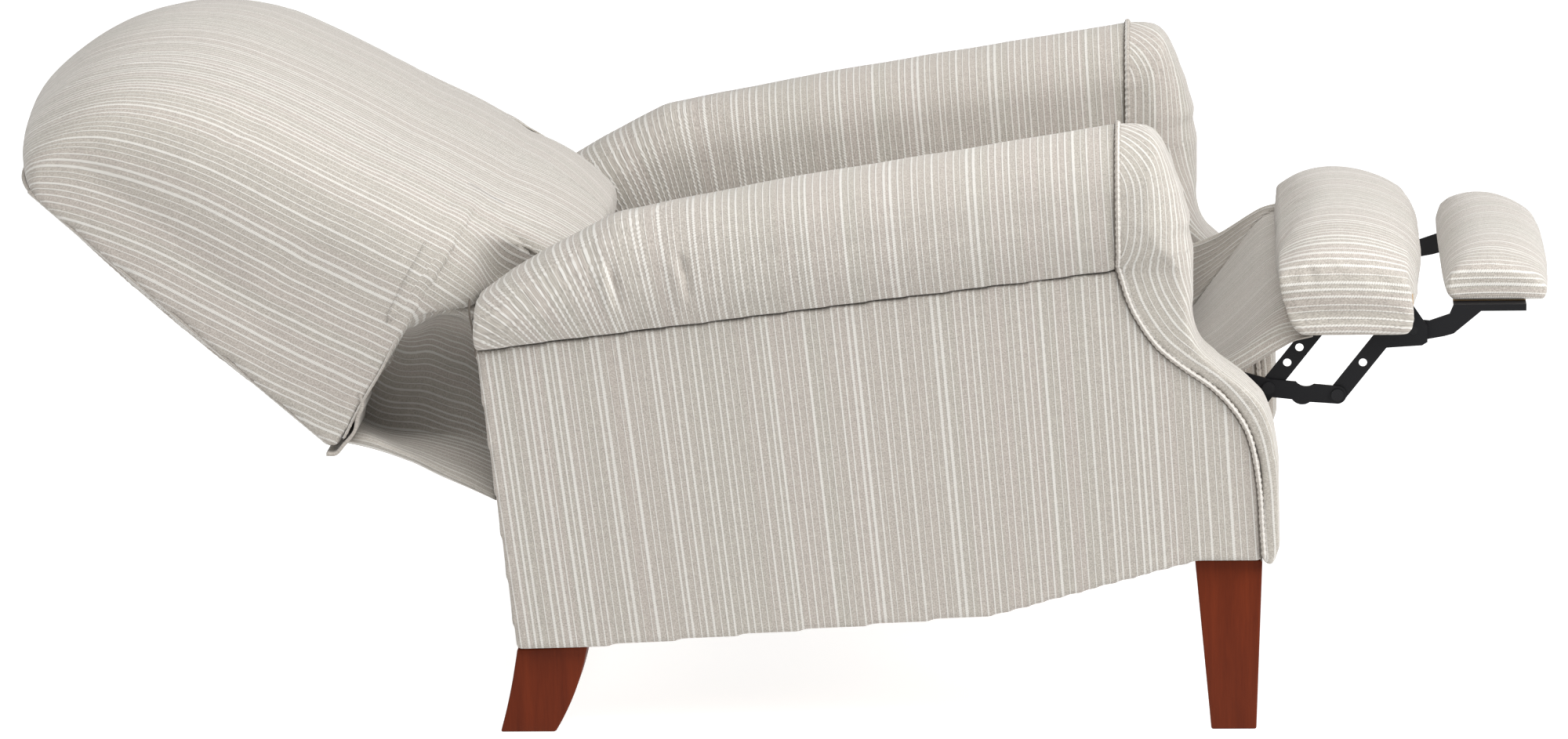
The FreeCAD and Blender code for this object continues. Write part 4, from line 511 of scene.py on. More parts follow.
def soft(name, nodes, body, size, relax, across=None, cut=None, place=None,
         form=None, puff=None, levels=0, after=None):
    """A fabric piece formed from CAD solids, with its stripes

    size and relax are the remesh's voxel and the rounds of smoothing. form and after move the points before
    and after the swelling that puff gives: where it is held, its cap and how much it is slimmed first.
    """
    obj = cad_copy(name, *nodes)
    remesh(obj, size)
    smooth(obj, relax)
    if form:
        set_positions(obj, form(positions(obj), normals(obj)))
    if puff:
        held, cap, slim = puff
        co, n = positions(obj), normals(obj)
        weight = held(co, n)
        set_positions(obj, co - n * (slim * (1 - weight))[:, None])
        inflate(obj, weight, cap)
        smooth(obj, 2)
    if levels:
        subdivide(obj, levels)
    if after:
        set_positions(obj, after(positions(obj), normals(obj)))
    if place:
        lay_by(obj, place)
    else:
        lay(obj, across, cut)
    return upholster(obj, body, nodes)


def leaning(co, n):
    """The step across the arms' stripes, which run down and a little forward, less so near the front"""
    angle = np.radians(6.8 - 4.0 * ramp(co[:, 0], -0.2, 0.45))
    return np.stack([np.cos(angle), np.zeros(len(co)), np.sin(angle)], 1)


def outward(sign):
    """Cuts a thin upright panel into its outer face and the rest"""
    return lambda middle, normal: (normal[:, 1] * sign > 0.5).astype(int)


def facing(way, share=0.4):
    """Cuts a piece where its surface turns away from the given direction"""
    way = np.asarray(way, float) / np.linalg.norm(way)
    return lambda middle, normal: (normal @ way > share).astype(int)


def over(edge, end):
    """The step across stripes that run along a pad and go on down its two ends"""

    def step(co, n):
        turn = np.pi / 2 * ramp(np.abs(co[:, 1]), edge, end)
        return np.stack([np.zeros(len(co)), np.cos(turn), -np.sin(turn) * np.sign(co[:, 1])], 1)

    return step


def through(points, count):
    """A smooth curve through the given points, evenly counted between them"""
    p = np.asarray(points, float)
    if len(p) == 2:
        t = np.linspace(0, 1, count)[:, None]
        return p[0] * (1 - t) + p[1] * t
    ext = np.vstack([2 * p[0] - p[1], p, 2 * p[-1] - p[-2]])
    at = np.linspace(0, len(p) - 1, count)
    k = np.minimum(at.astype(int), len(p) - 2)
    t = (at - k)[:, None]
    a, b, c, d = ext[k], ext[k + 1], ext[k + 2], ext[k + 3]
    bend, twist = 2 * a - 5 * b + 4 * c - d, 3 * b - a - 3 * c + d
    return 0.5 * (2 * b + (c - a) * t + bend * t * t + twist * t**3)


def run_of(points):
    """How far each point is along the line of points"""
    return np.concatenate([[0], np.cumsum(np.linalg.norm(np.diff(points, axis=0), axis=1))])


FINE_COUNT = 400  # points of a curve before they are spaced out


def spaced(points, count):
    """The same curve with its points at equal distances"""
    fine = through(points, FINE_COUNT)
    run = run_of(fine)
    at = np.linspace(0, run[-1], count)
    return np.stack([np.interp(at, run, fine[:, axis]) for axis in range(3)], 1)


def cloth_sheet(name, lines, rows, columns, thickness, wave_size=0.0, shade=None):
    """A sheet of cloth through lines of points, its stripes running along the lines"""
    along = np.array([spaced(line, columns) for line in lines])
    grid = np.array([spaced(along[:, c], rows) for c in range(columns)]).transpose(1, 0, 2)
    points = grid.reshape(-1, 3)
    if wave_size:
        uneven = np.stack([np.zeros(len(points)), wave(points, 0.03), wave(points, 0.025, 2.0)], 1)
        points = points + uneven * wave_size
    index = np.arange(rows * columns).reshape(rows, columns)
    faces = np.stack([index[:-1, :-1], index[:-1, 1:], index[1:, 1:], index[1:, :-1]], -1).reshape(-1, 4)
    obj = mesh_object(name, points, faces)
    u = run_of(grid[:, columns // 2])
    v = run_of(grid[rows // 2])
    # The third value is painted shade, darkest where little light reaches, zero when no shade is given
    dim = np.zeros(rows * columns) if shade is None else shade(points)
    value = np.stack([np.repeat(u, columns), np.tile(v, rows), dim], 1)
    keep_stripes(obj, value[faces.ravel()])
    solid = obj.modifiers.new("Solidify", "SOLIDIFY")
    solid.thickness = thickness
    solid.offset = 0.0
    return apply_modifiers(obj)


def declare_sheet(obj):
    """Hands the sheet back unchanged"""
    return obj


CORD_SIDES = 8
STITCH_STEP = 0.0065  # from one stitch of a seam to the next
SLOW_PUCKER = 310  # radians per metre of the seams' slower unevenness


def cord(name, path, radius, pucker=0.0, step=STITCH_STEP):
    """A sewn edge along a path, gathered a little at each stitch"""
    p = np.asarray(path, float)
    tangent = unit(np.gradient(p, axis=0))
    guide = np.broadcast_to(np.array([0, 1.0, 0]), p.shape)
    one = unit(guide - tangent * np.einsum("ij,ij->i", guide, tangent)[:, None])
    two = np.cross(tangent, one)
    run = run_of(p)
    ends = ramp(run, 0, radius * 2) * ramp(run[-1] - run, 0, radius * 2)
    gather = pucker * (np.sin(2 * np.pi * run / step) + 0.3 * np.sin(run * SLOW_PUCKER))
    size = radius * (0.25 + 0.75 * ends) * (1 + gather)
    angles = np.arange(CORD_SIDES) * 2 * np.pi / CORD_SIDES
    ring = np.cos(angles)[None, :, None] * one[:, None] + np.sin(angles)[None, :, None] * two[:, None]
    points = (p[:, None] + ring * size[:, None, None]).reshape(-1, 3)
    faces = []
    for start in range(0, len(points) - CORD_SIDES, CORD_SIDES):
        for m in range(CORD_SIDES):
            side = (start + m, start + (m + 1) % CORD_SIDES)
            faces.append((side[0], side[0] + CORD_SIDES, side[1] + CORD_SIDES, side[1]))
    faces.append(tuple(range(CORD_SIDES)))
    faces.append(tuple(reversed(range(len(points) - CORD_SIDES, len(points)))))
    obj = mesh_object(name, points, faces)
    loops = np.empty(len(obj.data.loops), np.int32)
    obj.data.loops.foreach_get("vertex_index", loops)
    around = (loops % CORD_SIDES) * radius * 2 * np.pi / CORD_SIDES
    value = np.stack([around, run[loops // CORD_SIDES], np.zeros(len(loops))], 1)
    return keep_stripes(obj, value)


def mirrored(points, sign):
    """Points given for the left side, on either side"""
    return np.asarray(points, float) * np.array([1, sign, 1])


BACK_CORNER = np.array([-0.462, 0.0, 0.295])
BACK_TILT = math.radians(48.4)
BACK_ALONG = np.array([-math.sin(BACK_TILT), 0.0, math.cos(BACK_TILT)])
BACK_UP = np.array([math.cos(BACK_TILT), 0.0, math.sin(BACK_TILT)])


def in_back(depth, height, y=0.0):
    """A point of the back from its depth towards the sitter, height along the back and place across"""
    return BACK_CORNER + depth * BACK_UP + height * BACK_ALONG + np.array([0, y, 0])


def depth_height(co):
    """How far the points are towards the sitter and along the back, from its lower rear corner"""
    return (co - BACK_CORNER) @ BACK_UP, (co - BACK_CORNER) @ BACK_ALONG


# The middle of an arm's front facing and half its width, and the middle of its roll, across and up
FACING_MIDDLE, FACING_HALF = 0.3205, 0.0625
ROLL_MIDDLE = (0.32, 0.56)
ROLL_REACH = 0.07
# The seam between a facing and the arm, as places forward and up, and how it ends at the top
SEAM_CURVE = [
    (0.356, 0.500), (0.359, 0.489), (0.371, 0.452), (0.394, 0.415), (0.422, 0.390), (0.454, 0.367),
    (0.478, 0.340), (0.492, 0.311), (0.500, 0.265), (0.503, 0.215), (0.505, 0.184),
]
SEAM_TOP = [(0.356, 0.57), (0.352, 0.60), (0.342, 0.635)]


def joined(one, other, power):
    """Two distances as one, with a round turn where they meet"""
    return (one**power + other**power) ** (1 / power)


def beside_seam(co):
    """Stripes that follow the curved front of an arm: how far from the seam, and how far along it"""
    curve = np.insert(np.array(SEAM_CURVE[::-1] + SEAM_TOP), 1, 0, axis=1)
    curve = spaced(curve, 260)[:, ::2]
    gap = np.linalg.norm(co[:, None, ::2] - curve[None], axis=2)
    inward = (FACING_HALF - np.abs(np.abs(co[:, 1]) - FACING_MIDDLE)).clip(0)
    away = joined(gap.min(1), inward, 1.3)
    return np.stack([away * np.sign(co[:, 1]), run_of(curve)[gap.argmin(1)], np.zeros(len(co))], 1)


# The top of an arm's roll, seen from the side, as places forward and up
CREST = (
    (-0.325, 0.449), (-0.275, 0.487), (-0.233, 0.512), (-0.163, 0.549), (-0.06, 0.588), (0.12, 0.618),
    (0.356, 0.637),
)


def round_roll(co):
    """Stripes around an arm's roll, which lean more and more towards its rear end"""
    y, z = np.abs(co[:, 1]) - ROLL_MIDDLE[0], co[:, 2] - ROLL_MIDDLE[1]
    rear = 1 - ramp(co[:, 0], -0.40, -0.04)
    lean = np.radians(6.4 - 3.0 * ramp(co[:, 0], -0.2, 0.35) + 44 * rear)
    low = (np.interp(co[:, 0], *np.transpose(CREST)) - co[:, 2]).clip(0)
    return np.stack([co[:, 0] - low * np.tan(lean), ROLL_REACH * np.arctan2(y, z), np.zeros(len(co))], 1)


# The front of the back cushion along its middle, as heights along the back and depths towards the sitter
CROWN = (
    (-0.30, 0.330), (0.00, 0.306), (0.06, 0.302), (0.12, 0.290), (0.20, 0.271),
    (0.30, 0.245), (0.40, 0.201), (0.46, 0.140), (0.475, 0.100), (0.49, 0.0),
)
CROWN_LINE = through([(height, depth, 0) for height, depth in CROWN], FINE_COUNT)
FLAT_HALF = 0.2  # how far from the middle the stripes of the back run straight up


def along_back(co):
    """Stripes up the back, which go on over its shoulders and down its sides"""
    depth, height = depth_height(co)
    drop = (np.interp(height, CROWN_LINE[:, 0], CROWN_LINE[:, 1]) - depth).clip(0)
    drop = drop + 1.6 * (0.11 - height).clip(0) ** 2
    side = np.abs(co[:, 1])
    away = np.minimum(side, FLAT_HALF) + joined((side - FLAT_HALF).clip(0), drop, 1.35)
    return np.stack([away * np.sign(co[:, 1]), height, np.zeros(len(co))], 1)


# The front of an arm at several heights: the height, how far forward the solid is and how far the cover is
FRONT = (
    (0.180, 0.5200, 0.5215), (0.270, 0.5205, 0.5210), (0.303, 0.5187, 0.5180), (0.325, 0.5135, 0.5140),
    (0.347, 0.5051, 0.5060), (0.367, 0.4936, 0.4860), (0.385, 0.4793, 0.4620), (0.403, 0.4560, 0.4440),
    (0.425, 0.4397, 0.4345), (0.455, 0.4320, 0.4335), (0.506, 0.4319, 0.4340), (0.538, 0.4358, 0.4310),
    (0.556, 0.4396, 0.4255), (0.586, 0.4360, 0.4160), (0.606, 0.4258, 0.4085), (0.623, 0.4086, 0.3985),
    (0.633, 0.3900, 0.3860), (0.640, 0.3700, 0.3720),
)


def domed(co, n):
    """Slopes the front of an arm back towards its top and rounds it off towards its two edges"""
    z, before, after = np.transpose(FRONT)
    seam_x, seam_z = np.transpose(SEAM_CURVE[::-1])
    seam = np.interp(co[:, 2], seam_z, seam_x)
    share = (np.interp(co[:, 2], z, after) - seam) / (np.interp(co[:, 2], z, before) - seam)
    edge = np.abs(np.abs(co[:, 1]) - FACING_MIDDLE) / FACING_HALF
    high = ramp(co[:, 2], 0.40, 0.50)
    dome = np.sqrt(1 - (0.55 + 0.25 * high) * np.clip(edge, 0, 1) ** 3.2)
    moved = co.copy()
    moved[:, 0] = seam + (co[:, 0] - seam) * np.where(co[:, 0] > seam, share * dome, 1)
    return moved


def pillow(low, crown, half, rear, front, bow_rear, bow_front, drop, slant, lift):
    """Rounds a pad off towards its two ends and bows its rear and front edges"""

    def form(co, n):
        y = np.clip(np.abs(co[:, 1]) / half, 0, 1)
        share = np.clip((co[:, 2] - low) / crown, 0, 1)
        place = np.clip((co[:, 0] - rear) / (front - rear), 0, 1)
        moved = co.copy()
        moved[:, 2] += share * (lift + lift * (1 - place) ** 2) - (co[:, 2] - low).clip(0) * drop * y**7
        moved[:, 0] += share**1.3 * (bow_rear * (1 - y**2) * (1 - place) - bow_front * y**2.6 * place)
        moved[:, 0] += slant * (1 - share) * (1 - place)
        return moved

    return form


PLEATS = (
    ((-0.166, 0.376, 0.505), (-0.160, 0.384, 0.478), (-0.157, 0.384, 0.455)),
    ((-0.094, 0.378, 0.515), (-0.087, 0.385, 0.490), (-0.085, 0.384, 0.466)),
)
PLEAT_DEPTH, PLEAT_HALF = 0.0050, 0.0040
FOLD_HEIGHT, FOLD_HALF, FOLD_BEHIND = 0.0030, 0.007, 0.010  # of the cloth lifted behind each pleat
PLEAT_REACH, PLEAT_COUNT = 0.03, 30


def pleated(sign):
    """Presses the two pleats of the roll in and lifts the cloth behind each"""

    def form(co, n):
        for pleat in PLEATS:
            line = spaced(mirrored(pleat, sign), PLEAT_COUNT)
            gap = co[:, None, :] - line[None]
            far = np.linalg.norm(gap, axis=2)
            near = far.argmin(1)
            distance = far.min(1)
            behind = gap[np.arange(len(co)), near, 0] + FOLD_BEHIND
            share = np.sin(np.pi * (near + 0.5) / PLEAT_COUNT) ** 0.5
            fold = FOLD_HEIGHT * np.exp(-((behind / FOLD_HALF) ** 2)) * (distance < PLEAT_REACH)
            depth = fold - PLEAT_DEPTH * np.exp(-((distance / PLEAT_HALF) ** 2))
            co = co + n * (depth * share)[:, None]
        return co + n * (0.0007 * wave(co, 0.035))[:, None]

    return form


RING_X = 0.3575  # how far forward the seam runs round the roll's end


def roll_ring(sign):
    """The edge of the roll's front end, from its outer seam over the top to its inner side"""
    co = positions(frame["nodes"]["arm_roll_left"])
    co = co[co[:, 0] > co[:, 0].max() - 0.002]
    out = co[:, 1:] - ROLL_MIDDLE
    angle = np.arctan2(out[:, 1], out[:, 0])
    reach = np.linalg.norm(out, axis=1)
    at = np.radians(np.linspace(-42, 205, 90))
    ring = []
    for one in at:
        gap = np.abs(np.angle(np.exp(1j * (angle - one))))
        near = gap < 0.06
        ring.append(reach[near].max() if near.any() else np.nan)
    ring = np.array(ring)
    known = ~np.isnan(ring)
    ring = np.interp(at, at[known], ring[known])
    middle_y, middle_z = ROLL_MIDDLE
    y, z = middle_y + ring * np.cos(at), middle_z + ring * np.sin(at)
    return mirrored(np.stack([np.full(len(at), RING_X), y, z], 1), sign)


SEAM_OUTER, SEAM_INNER = 0.3665, 0.2605  # how far from the middle a facing's two seams run
SEAM_SHADOW = (-0.0030, 0, -0.0010)  # from a seam to the dark line of painted shadow behind it
ROLL_END_SEAM = (
    (-0.3165, 0.345, 0.4640), (-0.3160, 0.356, 0.4500), (-0.3125, 0.364, 0.4343), (-0.3100, 0.369, 0.4183),
    (-0.3090, 0.372, 0.4070),
)
# The voxels that the covers are remeshed with
FINE_VOXEL, VOXEL, COARSE_VOXEL = 0.004, 0.005, 0.006
FORWARD, ACROSS, UPWARD = np.eye(3)


def flat_cover(name, node, body, way):
    """The cover of a board, with stripes that step across the chair on the side that faces the given way"""
    soft(name, [node], body, VOXEL, 3, ACROSS, facing(way))


for side, sign in SIDES:
    for name, face, way in (("side", "outside", sign), ("inner", "inside", -sign)):
        soft(f"{name}_panel_{side}", [f"arm_{face}_panel_{side}"], "base", VOXEL, 5,
             leaning, outward(way))
    flat_cover(f"arm_back_panel_{side}", f"arm_rear_panel_{side}", "base", -FORWARD)
    soft(f"roll_{side}", [f"arm_roll_{side}"], "base", VOXEL, 5, place=round_roll,
         levels=1, after=pleated(sign))
    soft(f"facing_{side}", [f"arm_front_facing_{side}"], "base", FINE_VOXEL, 5, place=beside_seam,
         form=domed, levels=1)
    ring = roll_ring(sign)
    outer = through([(x, sign * SEAM_OUTER, z) for x, z in SEAM_CURVE], 300)
    inner = through([(x, sign * SEAM_INNER, z) for x, z in SEAM_CURVE], 300)
    path = spaced(np.vstack([outer[::-1][::12], ring[::3], inner[::12]]), 700)
    upholster(cord(f"facing_seam_{side}", path, 0.0028, pucker=0.16), "base")
    # A thin dark cord behind the seam is painted shadow, for the shade in the seam's crease
    upholster(cord(f"facing_seam_shadow_line_{side}", path + SEAM_SHADOW, 0.0009), "base", material=SHADE)
    # The roll's end seam is drawn as a thin dark cord: painted shadow in its crease
    path = spaced(mirrored(ROLL_END_SEAM, sign), 40)
    upholster(cord(f"roll_end_shadow_line_{side}", path, 0.0011), "base", material=SHADE)


def sewn_back(co, n):
    """1 at the rear edge of the back, where it rests on its frame, and at its shoulders"""
    depth, height = depth_height(co)
    return np.maximum(1 - ramp(depth, 0.02, 0.09), 1 - ramp(height, 0.10, 0.19))


soft("back_pad", ["back_cushion"], "back", COARSE_VOXEL, 6, place=along_back,
     puff=(sewn_back, 0.012, 0.004))

HEM_MIDDLE, HEM_HALF = 0.2165, 0.206  # of the rear panel's height along the back


def to_its_hem(co, n):
    """Stretches the rear panel to its lower and upper hems, where the remesh leaves its thin ends out"""
    height = depth_height(co)[1]
    middle = (height.min() + height.max()) / 2
    stretch = HEM_MIDDLE + (height - middle) * HEM_HALF / (height.max() - middle) - height
    return co + stretch[:, None] * BACK_ALONG


def resting(low, high):
    """Holds a pad below the first height and lets it swell above the second"""
    return lambda co, n: 1 - ramp(co[:, 2], low, high)


ROUND_UNDER = facing(UPWARD, -0.6)
soft("back_outer", ["back_rear_panel"], "back", VOXEL, 3, ACROSS, facing(-BACK_UP),
     form=to_its_hem)
flat_cover("base_outer", "base_rear_panel", "base", -FORWARD)
soft("seat_pad", ["seat_cushion"], "base", COARSE_VOXEL, 6, over(0.2, 0.25), ROUND_UNDER,
     puff=(resting(0.38, 0.41), 0.010, 0.004))
flat_cover("seat_front", "seat_front_board", "base", FORWARD)
foot_form = pillow(
    low=0.396, crown=0.096, half=0.252, rear=0.510, front=0.680,
    bow_rear=0.0, bow_front=0.022, drop=0.22, slant=0.006, lift=0.009,
)
soft("foot_pad", ["footrest_pad"], "footrest", VOXEL, 5, over(0.18, 0.25), ROUND_UNDER,
     form=foot_form, puff=(resting(0.402, 0.43), 0.010, 0.004), levels=1)
toe_form = pillow(
    low=0.424, crown=0.044, half=0.205, rear=0.692, front=0.811,
    bow_rear=0.013, bow_front=0.016, drop=0.20, slant=0.0, lift=0.006,
)
soft("toe_pad", ["extension_pad"], "extension", VOXEL, 5, over(0.14, 0.2), ROUND_UNDER,
     form=toe_form, puff=(resting(0.43, 0.445), 0.007, 0.003), levels=1)

# The gusset on the left, from the shoulder round the recess and down to the sheet between back and base.
# Each line runs from the back to the arm or the base.
NECK_LINES = [
    [in_back(0.284, 0.085, 0.200), in_back(0.2915, 0.040, 0.200), in_back(0.297, 0.00, 0.200),
     in_back(0.299, -0.05, 0.200)],
    [in_back(0.2785, 0.085, 0.240), in_back(0.2845, 0.040, 0.238), in_back(0.290, 0.00, 0.236),
     in_back(0.292, -0.05, 0.236)],
    [in_back(0.2665, 0.085, 0.270), in_back(0.2715, 0.060, 0.260), in_back(0.2800, 0.030, 0.2515),
     in_back(0.284, 0.0, 0.248), in_back(0.284, -0.05, 0.246)],
    [in_back(0.2480, 0.083, 0.300), (-0.340, 0.298, 0.524), (-0.322, 0.284, 0.519), (-0.300, 0.266, 0.514),
     (-0.262, 0.252, 0.500)],
    [in_back(0.222, 0.074, 0.319), (-0.341, 0.313, 0.489), (-0.318, 0.297, 0.488), (-0.304, 0.268, 0.487),
     (-0.290, 0.255, 0.487), (-0.262, 0.251, 0.488)],
    [in_back(0.186, 0.066, 0.328), (-0.354, 0.322, 0.460), (-0.320, 0.306, 0.450), (-0.307, 0.270, 0.453),
     (-0.292, 0.254, 0.458), (-0.264, 0.250, 0.470)],
    [in_back(0.150, 0.056, 0.330), (-0.386, 0.326, 0.437), (-0.356, 0.318, 0.449), (-0.336, 0.309, 0.447),
     (-0.317, 0.300, 0.437)],
    [in_back(0.140, 0.050, 0.326), (-0.387, 0.318, 0.428), (-0.357, 0.311, 0.441), (-0.337, 0.302, 0.439),
     (-0.317, 0.294, 0.429)],
    [in_back(0.128, 0.046, 0.292), (-0.385, 0.285, 0.419), (-0.357, 0.280, 0.431), (-0.337, 0.276, 0.428),
     (-0.316, 0.270, 0.416)],
    [in_back(0.100, 0.040, 0.262), (-0.388, 0.255, 0.396), (-0.357, 0.253, 0.402), (-0.312, 0.251, 0.384)],
    [in_back(0.055, 0.034, 0.252), (-0.398, 0.248, 0.348), (-0.354, 0.247, 0.345), (-0.304, 0.249, 0.326)],
    [in_back(0.022, 0.030, 0.250), (-0.424, 0.249, 0.3080), (-0.356, 0.249, 0.300), (-0.298, 0.250, 0.285)],
    [in_back(0.021, 0.028, 0.256), (-0.424, 0.256, 0.3045), (-0.356, 0.256, 0.297), (-0.298, 0.256, 0.281)],
    [in_back(0.020, 0.004, 0.310), (-0.427, 0.321, 0.3095), (-0.398, 0.326, 0.298),
     (-0.353, 0.331, 0.2785), (-0.297, 0.335, 0.252)],
    [in_back(0.013, 0.004, 0.318), (-0.429, 0.326, 0.3045), (-0.398, 0.329, 0.294),
     (-0.353, 0.333, 0.2745), (-0.297, 0.336, 0.248)],
    [in_back(0.009, 0.004, 0.280), (-0.400, 0.290, 0.2900), (-0.353, 0.290, 0.2680), (-0.296, 0.290, 0.243)],
]


SHOULDER = 0.24  # how far along the gusset, from either end, its stripes go on from the back's
WRAP_START, WRAP_END = 0.036, 0.062  # heights along the back where the gusset comes to lie on it
TUCK_START, TUCK_END = 0.074, 0.084  # and where it is tucked in
REST_GAP, TUCK = 0.0002, 0.0030
HALF_LIFT = 0.0005  # how far the gusset's two faces are moved apart there


def rest_on(obj, pad):
    """Lays the upper rows of the sheet on the back, which they run into at their upper ends"""
    faces = [tuple(face.vertices) for face in pad.data.polygons]
    tree = BVHTree.FromPolygons([tuple(p) for p in positions(pad)], faces)
    co, n = positions(obj), normals(obj)
    depth, height = depth_height(co)
    for index in np.flatnonzero((height > WRAP_START) & (depth > 0.15)):
        spot, way, _, far = tree.find_nearest(Vector(co[index]))
        way = np.array(way)
        if far > 0.03 or abs(way @ BACK_ALONG) > 0.6:
            continue
        tucked = TUCK * float(ramp(height[index], TUCK_START, TUCK_END))
        least = REST_GAP - tucked + HALF_LIFT * np.sign(n[index] @ way)
        rise = (co[index] - np.array(spot)) @ way
        co[index] += way * (least - rise) * float(ramp(height[index], WRAP_START, WRAP_END))
    set_positions(obj, co)


CLOTH, HEM = 0.002, 0.0035  # the thickness of one cloth, and of the turned-over hem


def build_gusset():
    """The fabric between the back and the base: shoulders, walls of the recess and the sheet below"""
    near = [mirrored(line, -1) for line in NECK_LINES]
    middle = [[in_back(0.006, 0.0), (-0.398, 0, 0.282), (-0.353, 0, 0.262), (-0.2945, 0, 0.2385)]]
    lines = near + middle + [np.asarray(line) for line in reversed(NECK_LINES)]

    def recess(points):
        """How much painted shade darkens the cloth inside the fold, where little light reaches"""
        side, up = np.abs(points[:, 1]), points[:, 2]
        inner = 1 - ramp(side, 0.252, 0.275)
        low = 1 - ramp(up, 0.33, 0.44)
        wall = ramp(side, 0.235, 0.246) * ramp(up, 0.292, 0.302)
        return inner * wall * (0.10 + 0.36 * low) * ramp(depth_height(points)[1], -0.20, -0.02)

    # The recess walls get painted shade, stored with the stripes
    obj = cloth_sheet("gusset", lines, 190, 30, CLOTH, wave_size=0.0012, shade=recess)
    values = np.empty(len(obj.data.loops) * 3, np.float32)
    obj.data.attributes["stripe"].data.foreach_get("vector", values)
    corner = faces_of(obj)[0]
    co = positions(obj)[corner]
    rows = values.reshape(-1, 3)
    own = rows[:, 0]
    shoulder = (np.minimum(own, own.max() - own) < SHOULDER)[:, None]
    obj.data.attributes.remove(obj.data.attributes["stripe"])
    keep_stripes(obj, np.where(shoulder, along_back(co), rows))
    rest_on(obj, bpy.data.objects["back_pad"])
    paint(shade_smooth(obj), FABRIC)
    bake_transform(obj)
    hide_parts("rear_gusset")
    return declare_sheet(obj)


build_gusset()


def rounded(name, node, body, width, slot):
    """A rigid piece with its edges softened"""
    obj = cad_copy(name, node)
    work = bmesh.new()
    work.from_mesh(obj.data)
    bmesh.ops.remove_doubles(work, verts=work.verts, dist=1e-6)
    bmesh.ops.dissolve_limit(work, angle_limit=math.radians(1.5), verts=work.verts, edges=work.edges)
    work.to_mesh(obj.data)
    work.free()
    modifier = obj.modifiers.new("Bevel", "BEVEL")
    modifier.width = width
    modifier.segments = 3
    modifier.limit_method = "ANGLE"
    modifier.angle_limit = math.radians(35)
    apply_modifiers(obj)
    return upholster(obj, body, [node], material=BY_SLOT[slot])


for side, sign in SIDES:
    for end in ("front", "rear"):
        rounded(f"{end}_leg_wood_{side}", f"{end}_leg_{side}", "base", 0.0022, "leg_wood")

REAR_EDGE = [
    in_back(0.001, 0.012, 0.324), in_back(0.001, 0.2, 0.3265), in_back(0.002, 0.400, 0.3255),
    in_back(0.002, 0.420, 0.321), in_back(0.003, 0.433, 0.308), in_back(0.003, 0.441, 0.27),
    in_back(0.003, 0.445, 0.2),
]
CUT_EDGE = [
    in_back(0.016, 0.006, 0.3285), in_back(0.060, 0.0165, 0.3300), in_back(0.100, 0.0235, 0.3300),
    in_back(0.136, 0.033, 0.3295),
]
BACK_HEM = (
    (-0.4370, 0.3600), (-0.4345, 0.3470), (-0.4400, 0.3340), (-0.4440, 0.3190), (-0.4560, 0.3045),
    (-0.4640, 0.2960), (-0.4740, 0.2955),
)
BACK_HEM_SIDES = (0.3315, 0.318, 0.300, 0.262)
CUT_STITCH_STEP = 0.0073

rear_edge = REAR_EDGE + [in_back(0.003, 0.448, 0.0)] + [mirrored(p, -1) for p in reversed(REAR_EDGE)]
upholster(cord("back_welt", spaced(rear_edge, 900), 0.0026, pucker=0.05), "back")

for side, sign in SIDES:
    path = spaced(mirrored(CUT_EDGE, sign), 160)
    seam = cord(f"back_cut_seam_{side}", path, 0.0016, pucker=0.10, step=CUT_STITCH_STEP)
    upholster(seam, "back")
    rows = [mirrored([(x, y, z) for x, z in BACK_HEM], sign) for y in BACK_HEM_SIDES]
    band = cloth_sheet(f"back_hem_{side}", rows, 12, 40, HEM)
    declare_sheet(upholster(band, "back"))

# Each line of the flap runs from the seat front to the footrest, all but the last from the sewn edge there
FLAP_LINES = [
    [(0.3935, -0.2235, 0.3840), (0.395, -0.236, 0.316), (0.440, -0.236, 0.333), (0.477, -0.236, 0.353),
     (0.517, -0.236, 0.377), (0.537, -0.236, 0.389), (0.556, -0.236, 0.3935)],
    [(0.3935, -0.2235, 0.3840), (0.395, -0.230, 0.333), (0.440, -0.230, 0.349), (0.477, -0.230, 0.368),
     (0.517, -0.230, 0.390), (0.536, -0.230, 0.3935), (0.556, -0.230, 0.3945)],
    [(0.3935, -0.215, 0.3840), (0.395, -0.215, 0.338), (0.440, -0.215, 0.354), (0.477, -0.215, 0.374),
     (0.515, -0.215, 0.402), (0.533, -0.215, 0.414)],
    [(0.3935, -0.12, 0.3840), (0.395, -0.12, 0.332), (0.440, -0.12, 0.350), (0.475, -0.12, 0.376),
     (0.510, -0.12, 0.412), (0.530, -0.12, 0.430)],
    [(0.3935, 0.00, 0.3840), (0.395, 0.00, 0.325), (0.435, 0.00, 0.345), (0.470, 0.00, 0.376),
     (0.507, 0.00, 0.417), (0.528, 0.00, 0.436)],
    [(0.3935, 0.14, 0.3840), (0.395, 0.14, 0.312), (0.430, 0.14, 0.335), (0.462, 0.14, 0.371),
     (0.500, 0.14, 0.417), (0.526, 0.14, 0.438)],
    [(0.3935, 0.221, 0.3840), (0.395, 0.221, 0.295), (0.421, 0.221, 0.321), (0.446, 0.221, 0.353),
     (0.484, 0.221, 0.402), (0.507, 0.221, 0.431), (0.526, 0.221, 0.438)],
    [(0.3935, 0.2235, 0.3840), (0.395, 0.226, 0.300), (0.421, 0.226, 0.326), (0.446, 0.226, 0.358),
     (0.484, 0.226, 0.406), (0.507, 0.226, 0.433), (0.526, 0.226, 0.440)],
    [(0.395, 0.230, 0.388), (0.453, 0.232, 0.410), (0.472, 0.232, 0.420), (0.490, 0.232, 0.432),
     (0.506, 0.231, 0.441), (0.526, 0.230, 0.446)],
]
flap = cloth_sheet("flap", FLAP_LINES, 110, 32, CLOTH, wave_size=0.0010)
paint(shade_smooth(flap), FABRIC)
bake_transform(flap)
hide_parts("footrest_flap")
declare_sheet(flap)

# Studio

